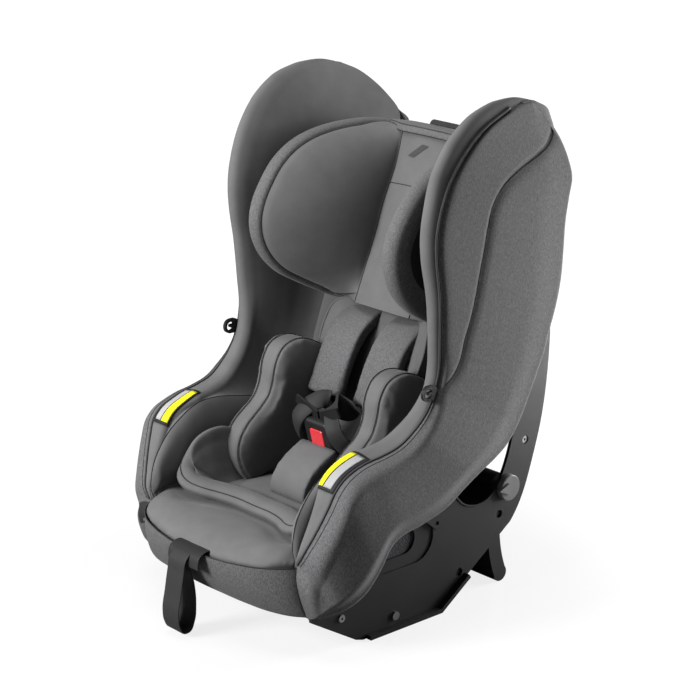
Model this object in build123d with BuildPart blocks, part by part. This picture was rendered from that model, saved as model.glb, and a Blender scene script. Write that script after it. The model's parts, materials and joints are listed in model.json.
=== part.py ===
"""Convertible child car seat: moulded base with fold-down foot, seat shell, sliding headrest, 5-point harness.

Millimetres. +Z up, the child faces -Y, +X is the right-hand side seen from the front.
The origin is on the floor, on the symmetry plane, under the middle of the base's flat underside.
"""

from build123d import *
from math import cos, radians, sin
import os

os.makedirs("parts", exist_ok=True)

# ---------------------------------------------------------------- driving dimensions
SIDE_OUT = 172            # outer face of the base side plates
PLATE = 5                 # base side plate thickness
FLOOR_HALF = 166.5        # cross members end just inside the side plates
TROUGH_OUT = 162          # outer face of the shell's seat trough
WALL_OUT = 188            # outer face of the shell's wing walls
COVER_OUT = 200           # outer face of the side covers
SKIN = 4                  # shell wall thickness
RECLINE = 20.0            # the back leans this far from vertical, degrees
BACK_Y, BACK_Z = 170, 400 # a point on the front face of the shell's back
BACK_SKIN = 5
PAN_Z = 101               # top of the seat pan
GAP = 0.6                 # clearance between neighbouring soft pieces

FOOT_Y, FOOT_Z = 197, 148 # foot pivot
SHAFT_R = 6.0
SHAFT_GAP = 0.05          # running clearance of the shaft in the side plates
FOOT_HALF = 157           # half length of the foot panel
KNOB_R = 18.5
KNOB_T = 8

WEB = 36                  # harness webbing width
WEB_T = 1.6               # harness webbing thickness
STRAP_X = 46              # shoulder strap centre line
STRAP_UP = -30            # height of the straps' exit through the back, measured up the back
HIP_X = 66                # hip strap exit through the back
HIP_UP = -214
GUIDE_X = 84              # headrest guide slots
HEADREST_TRAVEL = 150
LOCK_UP = 60              # lock pin position up the back at the lowest headrest setting
LOCK_PITCH = 25

UP = Vector(0, sin(radians(RECLINE)), cos(radians(RECLINE)))
FORWARD = Vector(0, -cos(radians(RECLINE)), sin(radians(RECLINE)))
BACK = Plane(origin=(0, BACK_Y, BACK_Z), x_dir=(1, 0, 0), z_dir=FORWARD)   # local: x, up the back, forward

SIDES = ((1, "right"), (-1, "left"))


def back_point(up, forward):
    """(y, z) of a point given by its distance up the back and in front of the shell's back face."""
    p = Vector(0, BACK_Y, BACK_Z) + UP * up + FORWARD * forward
    return (p.Y, p.Z)


def save(builder, name):
    """Labels a finished piece and writes its STEP file."""
    builder.part.label = name
    export_step(builder.part, f"parts/{name}.step")


# ---------------------------------------------------------------- side outlines, (y, z)
# front edge of the padded wing and armrest, from the hem up to the crown
NOSE = [(-172, 126), (-160, 185), (-125, 243), (-75, 262), (-14, 280), (22, 335), (24, 420), (20, 520),
        (41, 607), (93, 668), (165, 697)]
# rear and lower edge of the side cover, from the crown down to the armrest
REAR = [(165, 697), (225, 678), (268, 628), (279, 575), (267, 490), (254, 420), (232, 362), (196, 280),
        (155, 231), (95, 202), (0, 162), (-45, 153)]
HEM = [(-45, 153), (-62, 140), (-84, 106), (-112, 78), (-150, 67), (-176, 66)]
# the shell's wing wall inside that cover
WALL_FRONT = [(-160, 98), (-148, 165), (-118, 220), (-72, 239), (-8, 258), (40, 322), (46, 420), (42, 520),
              (60, 595), (104, 648), (165, 674)]
WALL_REAR = [(165, 674), (218, 660), (252, 616), (263, 570), (254, 490), (242, 420), (220, 366), (186, 290),
             (149, 246), (97, 217)]
LEDGE = [(-158, 92), (-135, 92), (-100, 114), (-60, 166), (-10, 181), (50, 196), (97, 215)]

# ---------------------------------------------------------------- base
PLATE_LOW = [(-160, 51), (-83, 4), (-70, 0), (68, 0), (206, 94)]
STRUT_REAR = [(206, 94), (229, 128), (247, 175), (262, 225), (274, 300), (277, 370), (272, 440)]
STRUT_FRONT = [(238, 440), (232, 372), (222, 300), (209, 226), (195, 182), (176, 151), (142, 134), (108, 146),
               (92, 174), (88, 208)]
PLATE_TOP = [(88, 208), (50, 192), (-10, 177), (-58, 162), (-98, 110), (-134, 88), (-154, 88), (-160, 76), (-160, 51)]
MESH_Y, MESH_Z, MESH_W, MESH_H = -14, 120, 78, 40
TIE_Y, TIE_Z, TIE_R = -109, 43, 9
CAP_Y, CAP_Z = -13, 18
UPPER_SCREW = (233, 208)
LOWER_SCREW = (108, 46)
MIDDLE_SCREW = (184, 111)
SCREW_R = 5.0

for sign, side_name in SIDES:
    inner = Plane.YZ.offset(sign * (SIDE_OUT - PLATE))
    outer = Plane.YZ.offset(sign * SIDE_OUT)
    with BuildPart() as base_side:
        with BuildSketch(inner):
            with BuildLine():
                Polyline(*PLATE_LOW)
                Spline(*STRUT_REAR)
                Line(STRUT_REAR[-1], STRUT_FRONT[0])
                Spline(*STRUT_FRONT)
                Polyline(*PLATE_TOP)
            make_face()
        extrude(amount=sign * PLATE)
        # shallow dish round the lap-belt opening, then the opening itself
        with BuildSketch(outer):
            with Locations((MESH_Y + 10, MESH_Z - 3)):
                SlotOverall(MESH_W + 44, MESH_H + 28)
        extrude(amount=-sign * 2.4, mode=Mode.SUBTRACT)
        with BuildSketch(outer):
            with Locations((MESH_Y, MESH_Z)):
                SlotOverall(MESH_W, MESH_H)
            with Locations((FOOT_Y, FOOT_Z)):
                Circle(SHAFT_R + SHAFT_GAP)
            with Locations((TIE_Y, TIE_Z), (CAP_Y, CAP_Z), UPPER_SCREW):
                Circle(2.6)
        extrude(amount=-sign * PLATE, mode=Mode.SUBTRACT)
        with BuildSketch(outer):
            with Locations(UPPER_SCREW, LOWER_SCREW, MIDDLE_SCREW):
                Circle(SCREW_R + 0.8)
        extrude(amount=-sign * 3, mode=Mode.SUBTRACT)
        # raised triangular tab with a small square hole, between the opening and the belt window
        with BuildSketch(outer):
            with BuildLine():
                Polyline((30, 148), (60, 122), (68, 122), (90, 178), (60, 186), (24, 178), close=True)
            make_face()
            with Locations((62, 131)):
                Rectangle(5, 5, mode=Mode.SUBTRACT)
        extrude(amount=sign * 3)
        # lip round the belt window's lower edge
        with BuildSketch(outer):
            with BuildLine():
                lip = Spline((170, 146), (142, 136), (110, 147), (95, 172))
            trace(lip, line_width=2.4)
        extrude(amount=sign * 1.4)
        # sockets that carry the tie bar and stiffen the foot pivot
        with BuildSketch(inner):
            with Locations((TIE_Y, TIE_Z)):
                Circle(TIE_R + 4)
                Circle(TIE_R, mode=Mode.SUBTRACT)
        extrude(amount=-sign * 10)
        with BuildSketch(inner):
            with Locations((FOOT_Y, FOOT_Z)):
                Circle(SHAFT_R + 5)
                Circle(SHAFT_R + SHAFT_GAP, mode=Mode.SUBTRACT)
        extrude(amount=-sign * 6)
    save(base_side, f"base_side_{side_name}")

FLOOR_T = 4
floor_line = [(-132, 36), (-80, 4), (-70, 0), (66, 0), (84, 13)]
with BuildPart() as base_floor:
    with BuildSketch(Plane.YZ.offset(-FLOOR_HALF)):
        with BuildLine():
            Polyline(*floor_line)
            offset(amount=FLOOR_T, side=Side.LEFT)
        make_face()
    extrude(amount=2 * FLOOR_HALF)
    # stiffening ribs across the flat part, and lightening windows between them
    for rib_y in (-45, -2, 41):
        with Locations((0, rib_y, FLOOR_T + 5)):
            Box(2 * FLOOR_HALF, 3, 10)
    with BuildSketch(Plane.XY):
        with Locations((-96, -23.5), (96, -23.5), (-96, 19.5), (96, 19.5)):
            RectangleRounded(64, 24, 6)
    extrude(amount=FLOOR_T, mode=Mode.SUBTRACT)
save(base_floor, "base_floor")

with BuildPart() as base_tie_bar:
    with BuildSketch(Plane.YZ.offset(-FLOOR_HALF)):
        with Locations((TIE_Y, TIE_Z)):
            Circle(TIE_R - 0.2)
            Circle(TIE_R - 2.2, mode=Mode.SUBTRACT)
    extrude(amount=2 * FLOOR_HALF)
save(base_tie_bar, "base_tie_bar")

with BuildPart() as base_back_bridge:
    with BuildSketch(Plane.YZ.offset(-FLOOR_HALF)):
        with BuildLine():
            rear_line = Spline((252, 232), (262.5, 290), (266.5, 350), (263.5, 425))
        trace(rear_line, line_width=5)
    extrude(amount=2 * FLOOR_HALF)
    # opening that gives a hand access to the harness yoke
    with BuildSketch(Plane.XZ.offset(-230)):
        with Locations((0, 318)):
            RectangleRounded(180, 96, 22)
    extrude(amount=-60, mode=Mode.SUBTRACT)
save(base_back_bridge, "base_back_bridge")

SKID_W, SKID_T = 9, 6
for sign, side_name in SIDES:
    with BuildPart() as skid:
        with BuildSketch(Plane.YZ.offset(sign * (SIDE_OUT + 0.1))):
            with BuildLine():
                Polyline((-64, 0), (68, 0), (122, 37))
                offset(amount=SKID_T, side=Side.LEFT)
            make_face()
        extrude(amount=sign * SKID_W)
    save(skid, f"skid_{side_name}")

with BuildPart() as base_screws:
    # tie bar screws, floor screw caps and the recessed screws of the struts, both sides
    for sign in (1, -1):
        face = Plane.YZ.offset(sign * SIDE_OUT)
        with BuildSketch(face):
            with Locations((TIE_Y, TIE_Z)):
                Circle(5.2)
                RegularPolygon(1.9, 6, mode=Mode.SUBTRACT)
        extrude(amount=sign * 2.4)
        with BuildSketch(face):
            with Locations((CAP_Y, CAP_Z)):
                Circle(6)
        extrude(amount=sign * 3.2)
        with BuildSketch(face.offset(-sign * 3)):
            with Locations(UPPER_SCREW):
                Circle(SCREW_R)
                RegularPolygon(2, 6, mode=Mode.SUBTRACT)
        extrude(amount=sign * 1.6)
save(base_screws, "base_screws")

with BuildPart() as belt_path_mesh:
    # stretched mesh behind the lap-belt openings, one panel each side
    for sign in (1, -1):
        with BuildSketch(Plane.YZ.offset(sign * (SIDE_OUT - PLATE - 0.3))):
            with Locations((MESH_Y, MESH_Z)):
                SlotOverall(MESH_W + 8, MESH_H + 8)
        extrude(amount=-sign * 1.5)
save(belt_path_mesh, "belt_path_mesh")

# ---------------------------------------------------------------- foot
FOOT_LINE = [(FOOT_Y, FOOT_Z), (190, 104), (191, 62), (204, 12)]
FOOT_HALF_T = 11.5
FOOT_BOSS_R = 15
with BuildPart() as foot_panel:
    with BuildSketch(Plane.YZ.offset(-FOOT_HALF)):
        with BuildLine():
            leg = Spline(*FOOT_LINE)
        trace(leg, line_width=2 * FOOT_HALF_T)
        with Locations(FOOT_LINE[0]):
            Circle(FOOT_BOSS_R)
        with Locations(FOOT_LINE[-1]):
            Circle(FOOT_HALF_T + 0.5)
        with Locations(FOOT_LINE[0]):
            Circle(SHAFT_R, mode=Mode.SUBTRACT)
    extrude(amount=2 * FOOT_HALF)
    # pocket in the rear face, so that the leg is a ribbed moulding and not a solid bar
    with BuildSketch(Plane.XZ.offset(-190)):
        with Locations((-72, 78), (72, 78)):
            RectangleRounded(120, 74, 16)
    extrude(amount=-40, mode=Mode.SUBTRACT)
save(foot_panel, "foot_panel")

SHAFT_HALF = SIDE_OUT + 2
with BuildPart() as foot_shaft:
    with BuildSketch(Plane.YZ.offset(-SHAFT_HALF)):
        with Locations((FOOT_Y, FOOT_Z)):
            Circle(SHAFT_R)
    extrude(amount=2 * SHAFT_HALF)
save(foot_shaft, "foot_shaft")

for sign, side_name in SIDES:
    inner = Plane.YZ.offset(sign * (SIDE_OUT + 0.6))
    with BuildPart() as knob:
        with BuildSketch(inner):
            with Locations((FOOT_Y, FOOT_Z)):
                Circle(KNOB_R)
        extrude(amount=sign * KNOB_T)
        rim = knob.faces().sort_by(Axis.X)[-1 if sign > 0 else 0]
        chamfer(rim.edges(), 1.2)
        # pointer wedge, standing proud of the disc, that shows which way the foot is set
        with BuildSketch(inner.offset(sign * 2)):
            with BuildLine():
                Polyline((FOOT_Y - 24, FOOT_Z + 1), (FOOT_Y - 6, FOOT_Z + 9), (FOOT_Y - 4, FOOT_Z - 8), close=True)
            make_face()
        extrude(amount=sign * (KNOB_T + 1))
        with BuildSketch(inner):
            with Locations((FOOT_Y, FOOT_Z)):
                Circle(SHAFT_R)
        extrude(amount=sign * 1.4, mode=Mode.SUBTRACT)
    save(knob, f"knob_{side_name}")

# ---------------------------------------------------------------- seat shell
SLOT_UP = [-45, 145]                    # bottom and top of the shoulder strap slots, up the back
with BuildPart() as seat_shell:
    for sign in (1, -1):
        # wing wall
        with BuildSketch(Plane.YZ.offset(sign * (WALL_OUT - SKIN))):
            with BuildLine():
                Polyline(*WALL_FRONT[:3])
                Spline(*WALL_FRONT[2:])
                Spline(*WALL_REAR)
                Polyline(WALL_REAR[-1], *reversed(LEDGE[1:-1]), WALL_FRONT[0])
            make_face()
        extrude(amount=sign * SKIN)
        # ledge that rests over the base side plate
        with BuildSketch(Plane.YZ.offset(sign * (TROUGH_OUT - SKIN))):
            with BuildLine():
                Polyline(*LEDGE)
                offset(amount=SKIN, side=Side.LEFT)
            make_face()
        extrude(amount=sign * (WALL_OUT - TROUGH_OUT + SKIN))
        # side wall of the seat trough, under the ledge
        with BuildSketch(Plane.YZ.offset(sign * (TROUGH_OUT - SKIN))):
            with BuildLine():
                Polyline((-135, PAN_Z - 5), (-108, PAN_Z + 9), (-60, 168), (-10, 183), (50, 198),
                         back_point(-208, -2), back_point(-298, -2), (60, PAN_Z - 5), close=True)
            make_face()
        extrude(amount=sign * SKIN)
    # back, full width above the ledge and trough width below it
    with BuildSketch(BACK):
        with BuildLine():
            Polyline((-WALL_OUT + 1, -198), (-WALL_OUT + 1, 170), (-140, 215), (140, 215), (WALL_OUT - 1, 170),
                     (WALL_OUT - 1, -198), (TROUGH_OUT, -198), (TROUGH_OUT, -292), (-TROUGH_OUT, -292),
                     (-TROUGH_OUT, -198), close=True)
        make_face()
        for sign in (1, -1):
            with Locations((sign * STRAP_X, sum(SLOT_UP) / 2)):
                RectangleRounded(WEB + 8, SLOT_UP[1] - SLOT_UP[0], 6, mode=Mode.SUBTRACT)
            with Locations((sign * GUIDE_X, 118)):
                RectangleRounded(14, 190, 6, mode=Mode.SUBTRACT)
            with Locations((sign * HIP_X, HIP_UP)):
                RectangleRounded(10, WEB + 8, 4, mode=Mode.SUBTRACT)
        for step in range(7):
            with Locations((0, LOCK_UP + step * LOCK_PITCH)):
                Circle(3.7, mode=Mode.SUBTRACT)
    extrude(amount=-BACK_SKIN)
    # gussets behind the back that reach the base's bridge
    for sign in (1, -1):
        with BuildSketch(Plane.YZ.offset(sign * 148)):
            with BuildLine():
                Polyline(back_point(-110, -4), (256, 300), (261, 350), (256, 415), back_point(14, -4), close=True)
            make_face()
        extrude(amount=sign * 5)
    # seat pan and its curve up to the back
    corner = back_point(-292, -BACK_SKIN)
    with BuildSketch(Plane.YZ.offset(-TROUGH_OUT)):
        with BuildLine():
            Polyline((-192, PAN_Z - 5), (56, PAN_Z - 5), (corner[0] + 2, corner[1] + 4))
            offset(amount=5, side=Side.LEFT)
        make_face()
    extrude(amount=2 * TROUGH_OUT)
    # crotch strap slot, adjuster strap slot and the cut-away front corners of the pan
    with BuildSketch(Plane.XY.offset(PAN_Z - 8)):
        with Locations((0, -44), (0, -145)):
            RectangleRounded(WEB + 8, 12, 4)
        for sign in (1, -1):
            with BuildLine():
                Polyline((sign * 70, -200), (sign * 170, -200), (sign * 170, -136), (sign * 152, -136), close=True)
            make_face()
    extrude(amount=12, mode=Mode.SUBTRACT)
    # lip that the apron hooks over
    with Locations((0, -190, PAN_Z - 18)):
        Box(130, 4, 34)
save(seat_shell, "seat_shell")

# ---------------------------------------------------------------- covers and pads of the wings
for sign, side_name in SIDES:
    with BuildPart() as wing_cover:
        # outer panel of the side cover
        with BuildSketch(Plane.YZ.offset(sign * (WALL_OUT + GAP))):
            with BuildLine():
                Spline(*NOSE)
                Spline(*REAR)
                Spline(*HEM)
                Line(HEM[-1], NOSE[0])
            make_face()
        extrude(amount=sign * (COVER_OUT - WALL_OUT - GAP))
        # padded band that wraps the front edge of the wing wall
        with BuildSketch(Plane.YZ.offset(sign * 168)):
            with BuildLine():
                Spline(*NOSE)
                Line(NOSE[-1], (165, 677))
                Spline((165, 677), (102, 651), (57.5, 596), (39.5, 520), (43.5, 420), (37, 323), (-10, 261),
                       (-74, 243), (-122, 223), (-152, 166), (-162, 128))
                Line((-162, 128), NOSE[0])
            make_face()
        extrude(amount=sign * (WALL_OUT + GAP - 168))
    save(wing_cover, f"wing_cover_{side_name}")

    with BuildPart() as wing_pad:
        with BuildSketch(Plane.YZ.offset(sign * 166)):
            with BuildLine():
                Spline((-104, 205), (-68, 234), (-5, 254), (43, 322), (49, 420), (45, 520), (63, 593), (106, 645),
                       (165, 670))
                Polyline((165, 670), (222, 648), (234, 600), (170, 430), (118, 290), (92, 224), (50, 207),
                         (-10, 192), (-64, 178), (-104, 205))
            make_face()
        extrude(amount=sign * (WALL_OUT - SKIN - GAP - 166))
    save(wing_pad, f"wing_pad_{side_name}")

# ---------------------------------------------------------------- seat cushion, apron and insert
CUSHION_TOP = 134
CUSHION_HALF = TROUGH_OUT - SKIN - GAP
with BuildPart() as seat_cushion:
    with BuildSketch(Plane.YZ.offset(-CUSHION_HALF)):
        with BuildLine():
            Polyline((-194, PAN_Z + GAP), (50, PAN_Z + GAP), back_point(-282, 3), back_point(-272, 12),
                     (52, CUSHION_TOP), (-176, CUSHION_TOP))
            ThreePointArc((-176, CUSHION_TOP), (-190, 127), (-194, PAN_Z + GAP))
        make_face()
    extrude(amount=2 * CUSHION_HALF)
    # the front edge follows the apron's curve
    with BuildSketch(Plane.XY.offset(PAN_Z)):
        with BuildLine():
            Spline((-CUSHION_HALF, -138), (-100, -178), (0, -196), (100, -178), (CUSHION_HALF, -138))
            Polyline((CUSHION_HALF, -138), (CUSHION_HALF, 90), (-CUSHION_HALF, 90), (-CUSHION_HALF, -138))
        make_face()
    extrude(amount=60, mode=Mode.INTERSECT)
    # pocket for the harness adjuster, passage for the crotch strap
    with Locations((0, -168, 120)):
        Box(56, 64, 60, mode=Mode.SUBTRACT)
    with Locations((0, -44, 120)):
        Box(WEB + 6, 9, 60, mode=Mode.SUBTRACT)
save(seat_cushion, "seat_cushion")

with BuildPart() as apron_cover:
    with BuildSketch(Plane.XY.offset(62)):
        with BuildLine():
            Spline((-160, -164), (-120, -200), (0, -224), (120, -200), (160, -164))
            Line((160, -164), (152, -155))
            Spline((152, -155), (110, -188), (0, -210), (-110, -188), (-152, -155))
            Line((-152, -155), (-160, -164))
        make_face()
    extrude(amount=66)
    # room for the adjuster strap where it comes over the top edge
    with Locations((0, -212, 124)):
        Box(WEB + 6, 40, 32, mode=Mode.SUBTRACT)
save(apron_cover, "apron_cover")

RING_LOW, RING_HIGH = CUSHION_TOP + GAP, 174
with BuildPart() as insert_seat:
    with BuildSketch(Plane.XY.offset(RING_LOW)):
        with BuildLine():
            Spline((-155, -100), (-117, -138), (-40, -150), (0, -146), (40, -150), (117, -138), (155, -100))
            Polyline((155, -100), (155, 44), (-155, 44), (-155, -100))
        make_face()
        with Locations((0, -38)):
            SlotOverall(176, 128, mode=Mode.SUBTRACT)
    extrude(amount=RING_HIGH - RING_LOW)
save(insert_seat, "insert_seat")

for sign, side_name in SIDES:
    with BuildPart() as insert_bolster:
        with BuildSketch(Plane.YZ.offset(sign * 92)):
            with BuildLine():
                Spline((-79, RING_HIGH + 1), (-70, 207), (-50, 235), (-24, 268), (-10, 302), (10, 334), (44, 338),
                       (80, 322), (106, 300))
                Polyline((106, 300), (58, RING_HIGH + 1), (-79, RING_HIGH + 1))
            make_face()
        extrude(amount=sign * 42)
    save(insert_bolster, f"insert_bolster_{side_name}")

with BuildPart() as insert_back:
    with BuildSketch(BACK.offset(GAP)):
        with Locations((0, -166)):
            RectangleRounded(212, 190, 20)
        for sign in (1, -1):
            with Locations((sign * HIP_X, HIP_UP)):
                RectangleRounded(10, WEB + 8, 4, mode=Mode.SUBTRACT)
    extrude(amount=24)
save(insert_back, "insert_back")

# ---------------------------------------------------------------- headrest
HEAD_LOW, HEAD_HIGH = -20, 214
with BuildPart() as headrest_shell:
    with BuildSketch(BACK.offset(1)):
        with Locations((0, (HEAD_LOW + HEAD_HIGH) / 2)):
            RectangleRounded(298, HEAD_HIGH - HEAD_LOW, 26)
        with Locations((0, LOCK_UP)):
            Circle(3.6, mode=Mode.SUBTRACT)
    extrude(amount=4)
    # side flanges inside the wings
    for sign in (1, -1):
        with BuildSketch(Plane.YZ.offset(sign * 149)):
            with BuildLine():
                Polyline(back_point(14, 2), back_point(180, 2), back_point(176, 66), back_point(120, 118),
                         back_point(52, 112), back_point(18, 60), close=True)
            make_face()
        extrude(amount=-sign * 3)
        # guide block in the shell's slot, with a retaining head behind the back
        with BuildSketch(BACK.offset(-BACK_SKIN - 1)):
            with Locations((sign * GUIDE_X, 45)):
                RectangleRounded(12, 30, 3)
        extrude(amount=BACK_SKIN + 2.5)
        with BuildSketch(BACK.offset(-BACK_SKIN - 5)):
            with Locations((sign * GUIDE_X, 45)):
                RectangleRounded(26, 36, 4)
        extrude(amount=4)
save(headrest_shell, "headrest_shell")

with BuildPart() as headrest_pad:
    with BuildSketch(BACK.offset(16)):
        with Locations((0, (HEAD_LOW + HEAD_HIGH) / 2)):
            RectangleRounded(222, HEAD_HIGH - HEAD_LOW + 4, 24)
    extrude(amount=19)
    chamfer(headrest_pad.faces().sort_by(Axis((0, 0, 0), FORWARD))[-1].edges(), 5)
save(headrest_pad, "headrest_pad")

for sign, side_name in SIDES:
    with BuildPart() as headrest_wing:
        with BuildSketch(Plane.YZ.offset(sign * 113)):
            with BuildLine():
                Spline((232, 604), (178, 616), (113, 604), (57, 569), (22, 530), (6, 488), (18, 450), (60, 410),
                       (108, 384), (153, 376))
                Line((153, 376), (232, 604))
            make_face()
        extrude(amount=sign * 32)
    save(headrest_wing, f"headrest_wing_{side_name}")

HANDLE_TRAVEL = 8
with BuildPart() as headrest_handle:
    # pull strip between the headrest's shell and pad, with a window round the lock pin's head
    with BuildSketch(BACK.offset(9)):
        with Locations((0, 136)):
            Rectangle(36, 188)
        with Locations((0, LOCK_UP - 2)):
            RectangleRounded(20, 44, 6, mode=Mode.SUBTRACT)
    extrude(amount=2)
    # finger grip over the top of the headrest
    with BuildSketch(BACK.offset(-20)):
        with Locations((0, 229)):
            RectangleRounded(60, 16, 7)
    extrude(amount=31)
save(headrest_handle, "headrest_handle")

PIN_R = 3.5
with BuildPart() as headrest_lock_pin:
    with BuildSketch(BACK.offset(-BACK_SKIN + 0.5)):
        with Locations((0, LOCK_UP)):
            Circle(PIN_R)
    extrude(amount=BACK_SKIN + 5)
    with BuildSketch(BACK.offset(5.3)):
        with Locations((0, LOCK_UP)):
            Circle(8)
    extrude(amount=3)
save(headrest_lock_pin, "headrest_lock_pin")

# ---------------------------------------------------------------- harness
exit_y, exit_z = back_point(STRAP_UP, 0)
SHOULDER_LINE = [(204, 296), (190, 340), (exit_y + 12, exit_z + 2), (exit_y - 10, exit_z - 4), (100, 346),
                 (58, 314), (44, 284), (52, 258)]
for sign, side_name in SIDES:
    with BuildPart() as shoulder_strap:
        with BuildSketch(Plane.YZ.offset(sign * (STRAP_X - WEB / 2))):
            with BuildLine():
                path = Spline(*SHOULDER_LINE)
            trace(path, line_width=WEB_T)
        extrude(amount=sign * WEB)
    save(shoulder_strap, f"shoulder_strap_{side_name}")

    with BuildPart() as shoulder_pad:
        with BuildSketch(Plane.YZ.offset(sign * (STRAP_X - 30))):
            with BuildLine():
                path = Spline((132, 373), (95, 358), (48, 322), (32, 285), (40, 258))
            trace(path, line_width=11)
        extrude(amount=sign * 60)
    save(shoulder_pad, f"shoulder_pad_{side_name}")

# buckle: local x across, y up the front face, z out of the front face
BUCKLE = Plane(origin=(0, 14, 218), x_dir=(1, 0, 0), z_dir=(0, -0.97, -0.24))
BUCKLE_T = 22
with BuildPart() as buckle_housing:
    with BuildSketch(BUCKLE.offset(-BUCKLE_T / 2)):
        RectangleRounded(54, 62, 11)
    extrude(amount=BUCKLE_T)
    fillet(buckle_housing.faces().sort_by(Axis((0, 0, 0), (0, -0.97, -0.24)))[-1].edges(), 6)
    # slot for the two tongues at the top with the latch's cavity below it, strap slot at the bottom,
    # pocket for the button in the front face
    with Locations(BUCKLE):
        with Locations((0, 3, 0)):
            Box(27, 26, 4, mode=Mode.SUBTRACT)
        with Locations((0, 22, 0)):
            Box(46, 20, 4, mode=Mode.SUBTRACT)
        with Locations((0, -25, -2)):
            Box(WEB + 2, 14, 4, mode=Mode.SUBTRACT)
        with Locations((0, 4, 7.5)):
            Box(27, 28, 9, mode=Mode.SUBTRACT)
save(buckle_housing, "buckle_housing")

with BuildPart() as buckle_button:
    with BuildSketch(BUCKLE.offset(6)):
        with Locations((0, 4.8)):
            RectangleRounded(26, 26, 4)
    extrude(amount=BUCKLE_T / 2 - 4.6)
    chamfer(buckle_button.faces().sort_by(Axis((0, 0, 0), (0, -0.97, -0.24)))[-1].edges(), 0.8)
save(buckle_button, "buckle_button")

with BuildPart() as buckle_latch:
    # steel plate that catches the tongues' blades; the button wedges it down
    with BuildSketch(BUCKLE.offset(-1)):
        with Locations((0, 3)):
            RectangleRounded(25, 18, 1.5)
    extrude(amount=2)
save(buckle_latch, "buckle_latch")

for sign, side_name in SIDES:
    with BuildPart() as tongue:
        with BuildSketch(BUCKLE.offset(-1.5)):
            with BuildLine():
                Polyline((sign * 2, 16), (sign * 20, 16), (sign * 20, 33), (sign * 46, 44), (sign * 41, 58),
                         (sign * 2, 41), close=True)
            make_face()
        extrude(amount=3)
        fillet(tongue.edges().filter_by(Axis((0, 0, 0), (0, -0.97, -0.24))), 1.5)
    save(tongue, f"tongue_{side_name}")

HIP_PLANE = Plane(origin=(0, 60, 212), x_dir=(1, 0, 0), z_dir=(0, 0.34, 0.94))
for sign, side_name in SIDES:
    with BuildPart() as hip_strap:
        with BuildSketch(HIP_PLANE.offset(-WEB / 2)):
            with BuildLine():
                path = Spline((sign * 30, -30), (sign * 52, -20), (sign * HIP_X, 6), (sign * HIP_X, 46))
            trace(path, line_width=WEB_T)
        extrude(amount=WEB)
    save(hip_strap, f"hip_strap_{side_name}")

with BuildPart() as crotch_strap:
    with BuildSketch(Plane.YZ.offset(-WEB / 2)):
        with BuildLine():
            path = Polyline((-44, 90.5), (-44, 140), (-24, 166), (22, 176), (23.5, 187), (21.2, 197))
        trace(path, line_width=WEB_T)
    extrude(amount=WEB)
save(crotch_strap, "crotch_strap")

with BuildPart() as crotch_anchor:
    # steel bar under the pan that the crotch strap is looped over
    with Locations((0, -44, 92)):
        Box(64, 12, 2.4)
        Box(WEB + 4, 4, 6, mode=Mode.SUBTRACT)
save(crotch_anchor, "crotch_anchor")

with BuildPart() as crotch_pad:
    with BuildSketch(Plane.YZ.offset(-31)):
        with BuildLine():
            path = Spline((-56, 142), (-52, 166), (-30, 184), (-4, 196))
        trace(path, line_width=11)
    extrude(amount=62)
save(crotch_pad, "crotch_pad")

with BuildPart() as harness_yoke:
    # plate behind the shell that joins the two shoulder straps to the adjuster strap
    with BuildSketch(Plane.XZ.offset(-204)):
        with BuildLine():
            Polyline((-70, 294), (70, 294), (70, 280), (24, 262), (-24, 262), (-70, 280), close=True)
        make_face()
    extrude(amount=-3)
save(harness_yoke, "harness_yoke")

# ---------------------------------------------------------------- front adjuster
ADJ_Y, ADJ_Z = -162, PAN_Z + 17         # adjuster button pivot
CAM_Y, CAM_Z = -172, PAN_Z + 11.5       # adjuster cam pivot
PIVOT_R = 1.2
with BuildPart() as adjuster_housing:
    with Locations((0, -175, PAN_Z + 11)):
        Box(52, 40, 21)
    # strap channel, and the opening for the button
    with Locations((0, -175, PAN_Z + 6)):
        Box(WEB + 3, 60, 7, mode=Mode.SUBTRACT)
    with Locations((0, -172, PAN_Z + 16)):
        Box(30, 28, 16, mode=Mode.SUBTRACT)
    # pivot holes of the button and the cam
    with BuildSketch(Plane.YZ.offset(-19)):
        with Locations((ADJ_Y, ADJ_Z), (CAM_Y, CAM_Z)):
            Circle(PIVOT_R + SHAFT_GAP)
    extrude(amount=38, mode=Mode.SUBTRACT)
save(adjuster_housing, "adjuster_housing")

with BuildPart() as adjuster_button:
    with BuildSketch(Plane.YZ.offset(-14)):
        with Locations((ADJ_Y, ADJ_Z)):
            Circle(2.4)
        with Locations((ADJ_Y - 11.5, ADJ_Z + 1.2)):
            Rectangle(23, 2.4)
    extrude(amount=28)
    with BuildSketch(Plane.YZ.offset(-18)):
        with Locations((ADJ_Y, ADJ_Z)):
            Circle(PIVOT_R)
    extrude(amount=36)
save(adjuster_button, "adjuster_button")

with BuildPart() as adjuster_cam:
    with BuildSketch(Plane.YZ.offset(-13)):
        with Locations((CAM_Y, CAM_Z)):
            Circle(2.5)
        # the nose that grips the strap, and the tail the button pushes on
        with Locations((CAM_Y - 3, CAM_Z - 1.7), (CAM_Y + 3, CAM_Z + 1.7)):
            Rectangle(5, 1.6)
    extrude(amount=26)
    with BuildSketch(Plane.YZ.offset(-18)):
        with Locations((CAM_Y, CAM_Z)):
            Circle(PIVOT_R)
    extrude(amount=36)
save(adjuster_cam, "adjuster_cam")

with BuildPart() as adjuster_strap:
    with BuildSketch(Plane.YZ.offset(-WEB / 2)):
        with BuildLine():
            path = FilletPolyline((204, 256), (196, 236), (134, 224), (82, 96), (62, 86), (-138, 86), (-150, 107.2), (-201, 107.2), (-212, 119),
                                  (-228, 119), (-236, 90), (-233, 6), radius=5)
        trace(path, line_width=WEB_T)
    extrude(amount=WEB)
save(adjuster_strap, "adjuster_strap")

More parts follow.
